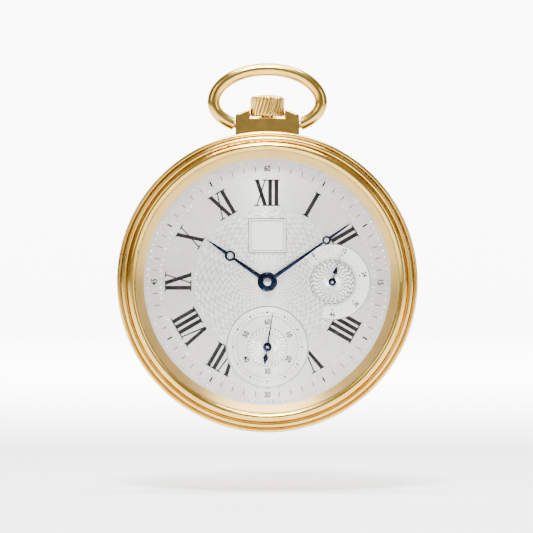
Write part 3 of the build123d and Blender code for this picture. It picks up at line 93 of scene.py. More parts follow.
RESERVE_TICK_RADIUS = 4.35
RESERVE_DOT_RADIUS = 4.38
RESERVE_NUMBER_RADIUS = 5.12
SECTOR_INNER = 3.9
SECTOR_OUTER = 5.83
SECTOR_FROM = -49
SECTOR_TO = 196


# ---------------------------------------------------------------- colours and materials

def linear(hex_colour):
    """Linear RGBA from an sRGB hex value such as E6C88A."""
    channels = []
    for start in (0, 2, 4):
        value = int(hex_colour[start:start + 2], 16) / 255
        channels.append(value / 12.92 if value <= 0.04045 else ((value + 0.055) / 1.055) ** 2.4)
    return (*channels, 1.0)


def add_node(tree, kind, settings=None, links=None):
    """Adds a node. Settings are attributes or input values, links give an input a socket or a value."""
    node = tree.nodes.new(kind)
    for key, value in (settings or {}).items():
        if key in node.inputs and not hasattr(node, key):
            node.inputs[key].default_value = value
        else:
            setattr(node, key, value)
    for key, value in (links or {}).items():
        if isinstance(value, bpy.types.NodeSocket):
            tree.links.new(value, node.inputs[key])
        else:
            node.inputs[key].default_value = value
    return node


def new_material(name, shader_values):
    """Material with one Principled shader whose uniform values sit on its own sockets."""
    material = bpy.data.materials.new(name)
    material.use_nodes = True
    tree = material.node_tree
    shader = tree.nodes["Principled BSDF"]
    for key, value in shader_values.items():
        shader.inputs[key].default_value = value
    return material, tree, shader


def scaled(tree, value, factor, offset=0.0):
    """A pattern's value times a factor, plus an offset."""
    terms = {0: value, 1: factor, 2: offset}
    return add_node(tree, "ShaderNodeMath", {"operation": "MULTIPLY_ADD"}, terms).outputs[0]


def wave(tree, value, cycles):
    """Wave that swings between -1 and 1, with its phase in radians."""
    phase = scaled(tree, value, cycles)
    return add_node(tree, "ShaderNodeMath", {"operation": "SINE"}, {0: phase}).outputs[0]


def colour_between(tree, shader, factor, low_colour, high_colour, low=0.0, high=1.0):
    """Colours a surface between two shades by a pattern's value."""
    ramp = add_node(tree, "ShaderNodeValToRGB", {}, {"Fac": factor})
    for element, place, colour in zip(ramp.color_ramp.elements, (low, high), (low_colour, high_colour)):
        element.position = place
        element.color = linear(colour)
    tree.links.new(ramp.outputs["Color"], shader.inputs["Base Color"])


def relief(tree, shader, height, depth_mm):
    """Cuts a pattern into a surface to a real depth in millimetres."""
    bump = add_node(tree, "ShaderNodeBump", {"Distance": depth_mm * MM}, {"Height": height})
    tree.links.new(bump.outputs["Normal"], shader.inputs["Normal"])


def mottle(tree, scale, detail=2.0):
    """Cloudy pattern on the object's own coordinates, with so many patches to a metre."""
    coords = add_node(tree, "ShaderNodeTexCoord")
    noise = add_node(
        tree,
        "ShaderNodeTexNoise",
        {"Scale": scale, "Detail": detail},
        {"Vector": coords.outputs["Object"]},
    )
    return noise.outputs["Fac"]


def radius_and_angle(tree, centre=(0, 0)):
    """Sockets for the distance in millimetres and the angle in radians round an arbor."""
    coords = add_node(tree, "ShaderNodeTexCoord")
    mapping = add_node(
        tree, "ShaderNodeMapping",
        {"Location": (-centre[0], 0, -centre[1]), "Scale": (1 / MM, 1 / MM, 1 / MM)},
        {"Vector": coords.outputs["Object"]},
    )
    parts = add_node(tree, "ShaderNodeSeparateXYZ", {}, {0: mapping.outputs[0]})
    flat = add_node(tree, "ShaderNodeCombineXYZ", {}, {"X": parts.outputs["X"], "Y": parts.outputs["Z"]})
    radius = add_node(tree, "ShaderNodeVectorMath", {"operation": "LENGTH"}, {0: flat.outputs[0]})
    angle = add_node(
        tree, "ShaderNodeMath", {"operation": "ARCTAN2"}, {0: parts.outputs["Z"], 1: parts.outputs["X"]},
    )
    return radius.outputs["Value"], angle.outputs[0]


def polished_gilt():
    """Gold plate over polished brass: a near mirror with faint rubbing marks."""
    material, tree, shader = new_material("polished_gilt", {"Metallic": 1.0})
    # rubbing marks about 0.4 mm apart, cloudier patches about 6 mm across
    cloud = mottle(tree, 160.0, 3.0)
    marks = mottle(tree, 2500.0, 2.0)
    colour_between(tree, shader, cloud, "C99F44", "DDB963", 0.3, 0.7)
    roughness = scaled(tree, cloud, 0.12, 0.12)
    tree.links.new(roughness, shader.inputs["Roughness"])
    relief(tree, shader, marks, 0.0006)
    return material


def satin_gilt():
    """Gold plate over turned brass: fine rings, one every 0.25 mm, that stretch the reflections."""
    material, tree, shader = new_material("satin_gilt", {"Metallic": 1.0, "Roughness": 0.3})
    radius, _ = radius_and_angle(tree)
    rings = wave(tree, radius, 2 * math.pi / 0.25)
    shader.inputs["Base Color"].default_value = linear("D6B468")
    relief(tree, shader, rings, 0.004)
    return material


def satin_silver():
    """Silvered brass with rings of brushing 0.12 mm apart, drawn coarser than the real 0.03 mm to show."""
    material, tree, shader = new_material("satin_silver", {"Metallic": 0.55, "Roughness": 0.42})
    radius, _ = radius_and_angle(tree)
    grain = mottle(tree, 900.0, 4.0)
    height = wave(tree, radius, 2 * math.pi / 0.12)
    # painted shade and highlight: the colour follows the rings, darker in their grooves and lighter on their
    # crests; the grain mixed in is real
    painted_relief_shade = scaled(tree, height, 0.25, 0.5)
    mixed = scaled(tree, grain, 0.3, scaled(tree, painted_relief_shade, 0.7))
    colour_between(tree, shader, mixed, "D6D3CF", "F1EFEC", 0.2, 0.75)
    relief(tree, shader, height, 0.0015)
    return material


def dial_face():
    """The whole dial plate: satin chapter ring, engine-turned centre and the two sunk subsidiary dials."""
    material, tree, shader = new_material(
        "dial_face",
        {"Metallic": 0.8, "Roughness": 0.36, "Anisotropic": 0.75, "Anisotropic Rotation": 0.25},
    )
    # the brushing runs round the centre, so the sheen fans out from it
    brushing = add_node(tree, "ShaderNodeTangent", {"direction_type": "RADIAL", "axis": "Y"})
    tree.links.new(brushing.outputs[0], shader.inputs["Tangent"])
    grain = mottle(tree, 900.0, 4.0)
    radius, angle = radius_and_angle(tree)
    small_radius, small_angle = radius_and_angle(tree, SECONDS_AT)
    reserve_radius, reserve_angle = radius_and_angle(tree, RESERVE_AT)

    def inside(value, limit):
        return add_node(tree, "ShaderNodeMath", {"operation": "LESS_THAN"}, {0: value, 1: limit}).outputs[0]

    def choose(mask, within, without):
        gap = scaled(tree, without, -1.0, within)
        return scaled(tree, gap, mask, without)

    def fan(turned, reach, count):
        wobble = scaled(tree, wave(tree, reach, 7.0), 0.05)
        return wave(tree, scaled(tree, turned, 1.0, wobble), count)

    # chapter ring: satin rings 0.12 mm apart, brighter towards 12 and 6 where the brushing catches the light
    satin = scaled(tree, wave(tree, radius, 2 * math.pi / 0.12), 0.12)
    # engine turning: waves 0.42 mm apart that ripple 36 times round, crossed by a fan of rays
    ripple = scaled(tree, wave(tree, angle, 36.0), 0.16)
    barley = wave(tree, scaled(tree, radius, 1.0, ripple), 2 * math.pi / 0.42)
    turned = scaled(tree, barley, 0.5, scaled(tree, fan(angle, radius, 36.0), 0.45))
    height = choose(inside(radius, 11.0), turned, satin)
    # small seconds: fan of rays, satin ring, hobnail border of 90 by 0.3 mm
    hobnail = scaled(tree, wave(tree, small_angle, 90.0), wave(tree, small_radius, 2 * math.pi / 0.3))
    seconds = choose(inside(small_radius, 4.9), scaled(tree, wave(tree, small_radius, 52.0), 0.1), hobnail)
    seconds = choose(inside(small_radius, 3.05), fan(small_angle, small_radius, 30.0), seconds)
    height = choose(inside(small_radius, SECONDS_RADIUS), seconds, height)
    # power reserve: fan of rays
    height = choose(
        inside(reserve_radius, RESERVE_DISC_RADIUS), fan(reserve_angle, reserve_radius, 26.0), height,
    )
    # painted shade and highlight: the colour follows the relief of the satin rings, engine turning, rays and
    # hobnails, darker in the grooves and lighter on the crests; the grain mixed in is real
    painted_relief_shade = scaled(tree, height, 0.42, 0.48)
    mixed = scaled(tree, grain, 0.25, scaled(tree, painted_relief_shade, 0.75))
    colour_between(tree, shader, mixed, "ABA8A4", "F4F2EF", 0.2, 0.75)
    relief(tree, shader, height, 0.02)
    return material


def blued_steel():
    """Polished steel tempered to blue-black: dark, with sharp pale reflections."""
    material, tree, shader = new_material("blued_steel", {"Metallic": 1.0, "Roughness": 0.16})
    heat = mottle(tree, 500.0)
    colour_between(tree, shader, heat, "0C1424", "18243C", 0.35, 0.65)
    return material


def dial_ink():
    """Printed dial ink: brown-black enamel paint with a slight sheen."""
    material, tree, shader = new_material("dial_ink", {"Roughness": 0.5, "Specular IOR Level": 0.2})
    speckle = mottle(tree, 4000.0)
    colour_between(tree, shader, speckle, "060404", "120C0A", 0.3, 0.7)
    return material


def crystal_glass():
    """Mineral crystal: clear, with a thin reflection and no tint of its own."""
    material, _, _ = new_material("crystal_glass", {
        "Base Color": (1, 1, 1, 1), "Roughness": 0.0, "IOR": 1.5, "Transmission Weight": 1.0, "Alpha": 0.06,
    })
    material.surface_render_method = "BLENDED"
    return material


def brushed_metal(name, dark, light, roughness, grain_mm):
    """Metal with a fine straight or turned grain of the given spacing."""
    material, tree, shader = new_material(name, {"Metallic": 1.0, "Roughness": roughness})
    coords = add_node(tree, "ShaderNodeTexCoord")
    mapping = add_node(
        tree,
        "ShaderNodeMapping",
        {"Scale": (1 / (grain_mm * MM), 200.0, 120.0)},
        {"Vector": coords.outputs["Object"]},
    )
    grain = add_node(
        tree, "ShaderNodeTexNoise", {"Scale": 1.0, "Detail": 2.0}, {"Vector": mapping.outputs[0]},
    )
    colour_between(tree, shader, grain.outputs["Fac"], dark, light, 0.3, 0.7)
    relief(tree, shader, grain.outputs["Fac"], 0.001)
    return material


def striped_nickel():
    """Nickel plate with rounded bands 1.1 mm wide, ground across bridges and cock."""
    material, tree, shader = new_material("striped_nickel", {"Metallic": 1.0, "Roughness": 0.24})
    coords = add_node(tree, "ShaderNodeTexCoord")
    parts = add_node(tree, "ShaderNodeSeparateXYZ", {}, {0: coords.outputs["Object"]})
    slant = scaled(tree, parts.outputs["Z"], 0.35, parts.outputs["X"])
    band = add_node(
        tree, "ShaderNodeMath", {"operation": "FRACT"}, {0: scaled(tree, slant, 1 / (1.1 * MM))},
    ).outputs[0]
    fine = wave(tree, parts.outputs["Z"], 2 * math.pi / (0.09 * MM))
    height = scaled(tree, fine, 0.06, band)
    # painted shade and highlight: each band's colour runs from dark at its low edge to light at its high
    # edge, as light falls across it
    colour_between(tree, shader, band, "B9B5AC", "EDEAE2")
    relief(tree, shader, height, 0.03)
    return material


def pearled_nickel():
    """Nickel plate covered with overlapping round spots about 0.9 mm across."""
    material, tree, shader = new_material("pearled_nickel", {"Metallic": 1.0, "Roughness": 0.3})
    coords = add_node(tree, "ShaderNodeTexCoord")
    spots = add_node(tree, "ShaderNodeTexVoronoi", {"Scale": 1 / (0.9 * MM), "Randomness": 0.1},
                     {"Vector": coords.outputs["Object"]})
    rings = wave(tree, spots.outputs["Distance"], 40.0)
    # painted shade and highlight: each spot is coloured light at its centre and darker towards its edge
    colour_between(tree, shader, spots.outputs["Distance"], "E4E0D6", "A9A59B", 0.0, 0.7)
    relief(tree, shader, rings, 0.004)
    return material


def ruby():
    """Synthetic ruby: deep pink-red and polished, glowing a little from inside."""
    material, tree, shader = new_material("ruby", {
        "Roughness": 0.05, "IOR": 1.77, "Transmission Weight": 0.35,
    })
    cloud = mottle(tree, 1500.0)
    colour_between(tree, shader, cloud, "B0123A", "D8305C", 0.3, 0.7)
    return material


def moulded(name, dark, light, roughness):
    """Moulded nylon or rubber with a faint mottle."""
    material, tree, shader = new_material(name, {"Roughness": roughness})
    blotches = mottle(tree, 800.0)
    colour_between(tree, shader, blotches, dark, light)
    return material


def studio_floor():
    """Matt white card, slightly uneven in tone."""
    material, tree, shader = new_material("white_card", {"Roughness": 0.9})
    tone = mottle(tree, 4.0)
    colour_between(tree, shader, tone, "F4F4F4", "F8F8F8")
    return material


MATERIALS = {}


def finish_of(name):
    """The material of a finish, made the first time it is asked for."""
    makers = {
        "gilt": polished_gilt,
        "satin_gilt": satin_gilt,
        "satin_silver": satin_silver,
        "dial_face": dial_face,
        "blued_steel": blued_steel,
        "ink": dial_ink,
        "crystal": crystal_glass,
        "pearl": lambda: brushed_metal("bright_pearl", "C4C4C2", "EFEFEC", 0.12, 0.1),
        "steel": lambda: brushed_metal("polished_steel", "B4B5B8", "DADBDD", 0.18, 0.05),
        "spring_steel": lambda: brushed_metal("spring_steel", "5C6070", "8A8E9C", 0.25, 0.1),
        "brass": lambda: brushed_metal("turned_brass", "C39A4A", "E2BE74", 0.28, 0.06),
        "striped_nickel": striped_nickel,
        "pearled_nickel": pearled_nickel,
        "ruby": ruby,
        "nylon": lambda: moulded("white_nylon", "DEDEDA", "ECECE8", 0.45),
        "rubber": lambda: moulded("black_rubber", "101010", "1C1C1C", 0.7),
        "floor": studio_floor,
    }
    if name not in MATERIALS:
        MATERIALS[name] = makers[name]()
    return MATERIALS[name]


# ---------------------------------------------------------------- mesh helpers

def arc(start, middle, end, steps=10):
    """Points on the circle through three (radius, height) points, the first one left out."""
    (ax, ay), (bx, by), (cx, cy) = start, middle, end
    scale = 2 * (ax * (by - cy) + bx * (cy - ay) + cx * (ay - by))
    a2, b2, c2 = ax * ax + ay * ay, bx * bx + by * by, cx * cx + cy * cy
    ox = (a2 * (by - cy) + b2 * (cy - ay) + c2 * (ay - by)) / scale
    oy = (a2 * (cx - bx) + b2 * (ax - cx) + c2 * (bx - ax)) / scale
    radius = math.hypot(ax - ox, ay - oy)
    first = math.atan2(ay - oy, ax - ox)
    mid = (math.atan2(by - oy, bx - ox) - first) % (2 * math.pi)
    sweep = (math.atan2(cy - oy, cx - ox) - first) % (2 * math.pi)
    if mid > sweep:
        sweep -= 2 * math.pi
    angles = [first + sweep * step / steps for step in range(1, steps + 1)]
    return [(ox + radius * math.cos(a), oy + radius * math.sin(a)) for a in angles]


def smooth(mesh, angle=32):
    """Smooth shading with sharp edges kept."""
    mesh.polygons.foreach_set("use_smooth", [True] * len(mesh.polygons))
    mesh.set_sharp_from_angle(angle=math.radians(angle))


def add_piece(name, mesh, finish, body, replaced=(), sharp=32):
    """Links a finished mesh as a piece with its one material, body and replaced nodes."""
    mesh.name = name
    mesh.materials.clear()
    mesh.materials.append(finish_of(finish))
    mesh.polygons.foreach_set("material_index", [0] * len(mesh.polygons))
    smooth(mesh, sharp)
    piece = bpy.data.objects.new(name, mesh)
    bpy.context.scene.collection.objects.link(piece)
    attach(piece, body)
    if replaced:
        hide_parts(*replaced)
    return piece


def mesh_from(vertices, faces):
    """Closed mesh with doubles merged and normals outwards."""
    mesh = bpy.data.meshes.new("piece")
    mesh.from_pydata([(x * MM, y * MM, z * MM) for x, y, z in vertices], [], faces)
    work = bmesh.new()
    work.from_mesh(mesh)
    bmesh.ops.remove_doubles(work, verts=work.verts, dist=1e-8)
    bmesh.ops.recalc_face_normals(work, faces=work.faces)
    work.to_mesh(mesh)
    work.free()
    return mesh


def lathe(profile, at=(0, 0), steps=LATHE_STEPS):
    """Turns a closed profile of (radius, height) points about an arbor."""
    vertices = []
    faces = []
    count = len(profile)
    for step in range(steps):
        angle = 2 * math.pi * step / steps
        for radius, height in profile:
            across, up = radius * math.cos(angle), radius * math.sin(angle)
            vertices.append((at[0] + across, -height, at[1] + up))
    for step in range(steps):
        here, there = step * count, (step + 1) % steps * count
        for index in range(count):
            following = (index + 1) % count
            if profile[index][0] < 1e-9 and profile[following][0] < 1e-9:
                continue
            if profile[index][0] < 1e-9:
                faces.append((here + index, there + following, here + following))
            elif profile[following][0] < 1e-9:
                faces.append((here + index, there + index, here + following))
            else:
                faces.append((here + index, there + index, there + following, here + following))
    return mesh_from(vertices, faces)


class Sheet:
    """Flat shapes drawn on the dial: x to 3 o'clock, y to 12 o'clock, given a small thickness."""

    def __init__(self):
        self.vertices = []
        self.faces = []

    def prism(self, points, low, high):
        """Upright prism over a polygon, between two heights."""
        start = len(self.vertices)
        count = len(points)
        self.vertices += [(x, -low, y) for x, y in points] + [(x, -high, y) for x, y in points]
        self.faces.append(tuple(range(start, start + count)))
        self.faces.append(tuple(range(start + 2 * count - 1, start + count - 1, -1)))
        for index in range(count):
            following = (index + 1) % count
            self.faces.append(
                (start + index, start + following, start + count + following, start + count + index),
            )

    def sector(self, centre, inner, outer, start, end, low, high, steps):
        """Ring or part of a ring between two clock angles in degrees."""
        full = abs(end - start) >= 360
        ring = []
        for step in range(steps + 1):
            ring.append(clock(start + (end - start) * step / steps))
        for step in range(steps):
            (ax, ay), (bx, by) = ring[step], ring[step + 1]
            first = len(self.vertices)
            for height in (low, high):
                for radius, ux, uy in ((inner, ax, ay), (outer, ax, ay), (outer, bx, by), (inner, bx, by)):
                    self.vertices.append((centre[0] + radius * ux, -height, centre[1] + radius * uy))
            for quad in ((0, 1, 2, 3), (7, 6, 5, 4), (0, 3, 7, 4), (1, 5, 6, 2)):
                self.faces.append(tuple(first + corner for corner in quad))
            if not full and step == 0:
                self.faces.append((first, first + 4, first + 5, first + 1))
            if not full and step == steps - 1:
                self.faces.append((first + 3, first + 2, first + 6, first + 7))

    def mesh(self):
        return mesh_from(self.vertices, self.faces)


def clock(degrees):
    """Unit vector at an angle clockwise from 12 o'clock."""
    return (math.sin(math.radians(degrees)), math.cos(math.radians(degrees)))


def upright(at_degrees, top_outward):
    """Clock angle that the top of a numeral points to."""
    return at_degrees if top_outward else at_degrees + 180


def stroke(sheet, base, heading, points, low, high):
    """Prism of a letter part: points are (across, outward) from a base point, heading is a clock angle."""
    ux, uy = clock(heading + 90)
    vx, vy = clock(heading)
    placed = [(base[0] + u * ux + v * vx, base[1] + u * uy + v * vy) for u, v in points]
    sheet.prism(placed, low, high)


ROMAN_WIDTHS = {"I": 0.98, "V": 1.95, "X": 1.85}


def roman_letter(sheet, letter, left, heading, sizes):
    """One letter of a tall, narrow, high-contrast roman, standing on the inner edge of the chapter ring."""
    low, high = DIAL_TOP, DIAL_TOP + sizes.print_height / MM
    foot, top = sizes.numeral_inner / MM, sizes.numeral_outer / MM
    thick, thin = sizes.stem_width / MM, sizes.hairline_width / MM
    serif = thick * 0.95
    width = ROMAN_WIDTHS[letter]
    middle = left + width / 2

    def part(points):
        stroke(sheet, (0, 0), heading, points, low, high)

    def serif_at(across, outward, half):
        inward = outward + thin if outward == foot else outward - thin
        part(
            [
                (across - half, outward),
                (across + half, outward),
                (across + half, inward),
                (across - half, inward),
            ],
        )

    if letter == "I":
        part(
            [
                (middle - thick / 2, foot),
                (middle + thick / 2, foot),
                (middle + thick / 2, top),
                (middle - thick / 2, top),
            ],
        )
        serif_at(middle, foot, serif * 0.95)
        serif_at(middle, top, serif * 0.95)
        return
    edge = width / 2 - 0.25
    if letter == "V":
        part([(middle - edge - thick / 2, top), (middle - edge + thick / 2, top),
              (middle + thick / 2, foot), (middle - thick / 3, foot)])
        part([(middle + edge - thin / 2, top), (middle + edge + thin / 2, top),
              (middle + thick / 2, foot), (middle + thick / 2 - thin * 1.3, foot)])
    else:
        part([(middle - edge - thick / 2, top), (middle - edge + thick / 2, top),
              (middle + edge + thick / 2, foot), (middle + edge - thick / 2, foot)])
        part([(middle + edge - thin / 2, top), (middle + edge + thin / 2, top),
              (middle - edge + thin / 2, foot), (middle - edge - thin / 2, foot)])
        serif_at(middle - edge, foot, serif * 0.75)
        serif_at(middle + edge, foot, serif * 0.75)
    serif_at(middle - edge, top, serif * 0.75)
    serif_at(middle + edge, top, serif * 0.75)


def roman_numeral(sheet, text, heading, sizes):
    """A roman numeral centred on its hour, with its top outwards."""
    left = -sum(ROMAN_WIDTHS[letter] for letter in text) / 2
    for letter in text:
        roman_letter(sheet, letter, left, heading, sizes)
        left += ROMAN_WIDTHS[letter]


def cut_by(mesh, centre, radius):
    """The mesh without what lies inside an upright cylinder."""
    tool_mesh = lathe(
        [(0, DIAL_TOP - 1), (radius, DIAL_TOP - 1), (radius, DIAL_TOP + 1), (0, DIAL_TOP + 1)], centre,
    )
    tool = bpy.data.objects.new("cutter", tool_mesh)
    piece = bpy.data.objects.new("uncut", mesh)
    for item in (tool, piece):
        bpy.context.scene.collection.objects.link(item)
    cutter = piece.modifiers.new("cut", "BOOLEAN")
    cutter.operation = "DIFFERENCE"
    cutter.solver = "EXACT"
    cutter.use_self = True
    cutter.object = tool
    bpy.context.view_layer.update()
    evaluated = piece.evaluated_get(bpy.context.evaluated_depsgraph_get())
    result = bpy.data.meshes.new_from_object(evaluated)
    for item in (tool, piece):
        bpy.data.objects.remove(item)
    return result


def number_mesh(entries, size, low, thickness):
    """Arabic numbers from the built-in font. Each entry is (text, centre point, clock angle of its top)."""
    work = bmesh.new()
    for text, centre, heading in entries:
        curve = bpy.data.curves.new("number", "FONT")
        curve.body = text
        curve.size = size
        curve.align_x = "CENTER"
        curve.align_y = "CENTER"
        curve.extrude = thickness / 2
        curve.resolution_u = 3
        curve.offset = 0.03 * size
        writer = bpy.data.objects.new("number", curve)
        bpy.context.scene.collection.objects.link(writer)
        bpy.context.view_layer.update()
        mesh = bpy.data.meshes.new_from_object(writer.evaluated_get(bpy.context.evaluated_depsgraph_get()))
        bpy.data.objects.remove(writer)
        ux, uy = clock(heading + 90)
        vx, vy = clock(heading)
        place = Matrix((
            (ux * 0.82, vx, 0, centre[0]),
            (0, 0, -1, -low - thickness / 2),
            (uy * 0.82, vy, 0, centre[1]),
            (0, 0, 0, 1),
        ))
        mesh.transform(Matrix.Scale(MM, 4) @ place)
        work.from_mesh(mesh)
        bpy.data.meshes.remove(mesh)
    result = bpy.data.meshes.new("numbers")
    bmesh.ops.recalc_face_normals(work, faces=work.faces)
    work.to_mesh(result)
    work.free()
    return result


# ---------------------------------------------------------------- repeated shapes

def ring_tree():
    """Geometry Nodes tree that sets copies of a shape round an arbor, clockwise from 12 o'clock."""
    tree = bpy.data.node_groups.new("ring_of_shapes", "GeometryNodeTree")
    interface = tree.interface
    interface.new_socket("Geometry", in_out="OUTPUT", socket_type="NodeSocketGeometry")
    interface.new_socket("Geometry", in_out="INPUT", socket_type="NodeSocketGeometry")
    for name, kind in (
        ("Count", "NodeSocketInt"), ("Radius", "NodeSocketFloat"), ("First Angle", "NodeSocketFloat"),
        ("Step Angle", "NodeSocketFloat"), ("Centre", "NodeSocketVector"),
        ("Leave Out Every", "NodeSocketInt"),
        ("Gap A Centre", "NodeSocketVector"), ("Gap A Radius", "NodeSocketFloat"),
        ("Gap B Centre", "NodeSocketVector"), ("Gap B Radius", "NodeSocketFloat"),
        ("Material", "NodeSocketMaterial"),
    ):
        interface.new_socket(name, in_out="INPUT", socket_type=kind)
    source = add_node(tree, "NodeGroupInput").outputs
    index = add_node(tree, "GeometryNodeInputIndex").outputs[0]
    angle = scaled(tree, index, source["Step Angle"], source["First Angle"])
    sine = scaled(
        tree,
        add_node(tree, "ShaderNodeMath", {"operation": "SINE"}, {0: angle}).outputs[0],
        source["Radius"],
    )
    cosine = scaled(
        tree,
        add_node(tree, "ShaderNodeMath", {"operation": "COSINE"}, {0: angle}).outputs[0],
        source["Radius"],
    )
    offset = add_node(tree, "ShaderNodeCombineXYZ", {}, {"X": sine, "Z": cosine})
    place = add_node(
        tree, "ShaderNodeVectorMath", {"operation": "ADD"}, {0: offset.outputs[0], 1: source["Centre"]},
    )
    points = add_node(
        tree, "GeometryNodePoints", {}, {"Count": source["Count"], "Position": place.outputs[0]},
    )
    turn = add_node(tree, "ShaderNodeCombineXYZ", {}, {"Y": angle})
    remainder = add_node(
        tree, "ShaderNodeMath", {"operation": "MODULO"}, {0: index, 1: source["Leave Out Every"]},
    ).outputs[0]
    left_out = add_node(
        tree, "ShaderNodeMath", {"operation": "LESS_THAN"}, {0: remainder, 1: 0.5},
    ).outputs[0]
    dropped = left_out
    for gap in ("A", "B"):
        away = add_node(tree, "ShaderNodeVectorMath", {"operation": "DISTANCE"},
                        {0: place.outputs[0], 1: source[f"Gap {gap} Centre"]})
        near = add_node(
            tree,
            "ShaderNodeMath",
            {"operation": "LESS_THAN"},
            {0: away.outputs["Value"], 1: source[f"Gap {gap} Radius"]},
        ).outputs[0]
        dropped = add_node(
            tree, "ShaderNodeMath", {"operation": "MAXIMUM"}, {0: dropped, 1: near},
        ).outputs[0]
    kept = add_node(tree, "ShaderNodeMath", {"operation": "SUBTRACT"}, {0: 1.0, 1: dropped}).outputs[0]
    copies = add_node(
        tree,
        "GeometryNodeInstanceOnPoints",
        {},
        {
            "Points": points.outputs[0],
            "Selection": kept,
            "Instance": source["Geometry"],
            "Rotation": turn.outputs[0],
        },
    )
    real = add_node(tree, "GeometryNodeRealizeInstances", {}, {0: copies.outputs[0]})
    dressed = add_node(
        tree, "GeometryNodeSetMaterial", {}, {"Geometry": real.outputs[0], "Material": source["Material"]},
    )
    add_node(tree, "NodeGroupOutput", {}, {0: dressed.outputs[0]})
    return tree


NEVER = 100000


def ring_of(shape, count, radius, finish, centre=(0, 0), first=0.0, step=None, skip=NEVER, gaps=()):
    """Mesh of a shape set round an arbor by the Geometry Nodes tree. Lengths in millimetres."""
    tree = bpy.data.node_groups.get("ring_of_shapes") or ring_tree()
    holder = bpy.data.objects.new("shape", shape)
    bpy.context.scene.collection.objects.link(holder)
    modifier = holder.modifiers.new("ring", "NODES")
    modifier.node_group = tree
    step = 360 / count if step is None else step
    values = {
        "Count": count,
        "Radius": radius * MM,
        "First Angle": math.radians(first),
        "Step Angle": math.radians(step),
        "Centre": (centre[0] * MM, 0, centre[1] * MM),
        "Leave Out Every": skip,
        "Material": finish_of(finish),
    }
    for gap, (point, reach) in zip("AB", gaps):
        values[f"Gap {gap} Centre"] = (point[0] * MM, 0, point[1] * MM)
        values[f"Gap {gap} Radius"] = reach * MM
    for item in tree.interface.items_tree:
        if item.in_out == "INPUT" and item.name in values:
            modifier[item.identifier] = values[item.name]
    # index 0 counts as left out, so rings with nothing left out start their count one step early
    if skip == NEVER:
        for item in tree.interface.items_tree:
            if item.in_out == "INPUT" and item.name == "First Angle":
                modifier[item.identifier] = math.radians(first - step)
            if item.in_out == "INPUT" and item.name == "Count":
                modifier[item.identifier] = count + 1
    bpy.context.view_layer.update()
    mesh = bpy.data.meshes.new_from_object(holder.evaluated_get(bpy.context.evaluated_depsgraph_get()))
    holder.modifiers.remove(modifier)
    bpy.data.objects.remove(holder)
    return mesh


def dome_shape(radius, low, height):
    """Low dome on the dial at the arbor itself, ready to be set round it."""
    rings = ((1.0, 0.0), (0.92, 0.38), (0.71, 0.71), (0.38, 0.92))
    flank = [(radius * across, low + height * up) for across, up in rings]
    profile = [(0, low), *flank, (0, low + height)]
    return lathe(profile, steps=10)


def tick_shape(width, length, low, height):
    """Flat tick pointing outwards."""
    half = width / 2
    sheet = Sheet()
    sheet.prism(
        [(-half, -length / 2), (half, -length / 2), (half, length / 2), (-half, length / 2)],
        low,
        low + height,
    )
    return sheet.mesh()


def joined(meshes):
    """One mesh from several."""
    work = bmesh.new()
    for mesh in meshes:
        work.from_mesh(mesh)
    result = bpy.data.meshes.new("joined")
    work.to_mesh(result)
    work.free()
    return result


# ---------------------------------------------------------------- hands

def blade(sections, centre, heading, low, side, high):
    """Ridged blade: (distance, half width) sections along a clock heading, with a ridge down its middle."""
    ux, uy = clock(heading + 90)
    vx, vy = clock(heading)
    vertices = []
    for distance, half in sections:
        for across, height in ((-half, low), (half, low), (half, side), (0, high), (-half, side)):
            x = centre[0] + across * ux + distance * vx
            y = centre[1] + across * uy + distance * vy
            vertices.append((x, -height, y))
    faces = [tuple(range(5)), tuple(range(len(vertices) - 1, len(vertices) - 6, -1))]
    for section in range(len(sections) - 1):
        here, there = section * 5, (section + 1) * 5
        for corner in range(5):
            following = (corner + 1) % 5
            faces.append((here + corner, here + following, there + following, there + corner))
    return mesh_from(vertices, faces)


def ridged_ring(centre, inner, outer, low, side, high):
    """Ring with a ridge round its middle."""
    middle = (inner + outer) / 2
    return lathe(
        [(inner, low), (outer, low), (outer, side), (middle, high), (inner, side)], centre, steps=64,
    )


def hub(centre, bore, radius, low, high):
    """Collar with a rounded shoulder round a bore."""
    edge = (high - low) * 0.45
    shoulder = arc(
        (radius, high - edge), (radius - edge * 0.3, high - edge * 0.3), (radius - edge, high), 5,
    )
    profile = [(bore, low), (radius, low), (radius, high - edge)] + shoulder + [(bore, high)]
    return lathe(profile, centre, steps=64)


def pin(centre, radius, low, high):
    """Polished end of an arbor with a slight dome."""
    crown = arc((radius, high - 0.03), (radius * 0.6, high - 0.01), (0, high), 4)
    return lathe([(0, low), (radius, low), (radius, high - 0.03)] + crown, centre, steps=48)


# ---------------------------------------------------------------- settings

class WATCH_PG_dial(bpy.types.PropertyGroup):
    """Sizes of what is printed and set on the dial."""

    numeral_inner: bpy.props.FloatProperty(name="Numeral Inner", description="Radius of the numerals' feet",
                                           default=11.85 * MM, subtype="DISTANCE", precision=5)
    numeral_outer: bpy.props.FloatProperty(name="Numeral Outer", description="Radius of the numerals' tops",
                                           default=16.0 * MM, subtype="DISTANCE", precision=5)
    stem_width: bpy.props.FloatProperty(name="Stem Width", description="Width of a thick stroke",
                                        default=0.62 * MM, subtype="DISTANCE", precision=5)
    hairline_width: bpy.props.FloatProperty(name="Hairline Width", description="Width of a thin stroke",
                                            default=0.2 * MM, subtype="DISTANCE", precision=5)
    print_height: bpy.props.FloatProperty(name="Print Height", description="Thickness of the printing",
                                          default=0.012 * MM, subtype="DISTANCE", precision=6)
    pearl_radius: bpy.props.FloatProperty(name="Pearl Radius", description="Radius of one pearl",
                                          default=0.17 * MM, subtype="DISTANCE", precision=5)
    pearl_count: bpy.props.IntProperty(name="Pearls", description="Pearls in one full ring", default=120)


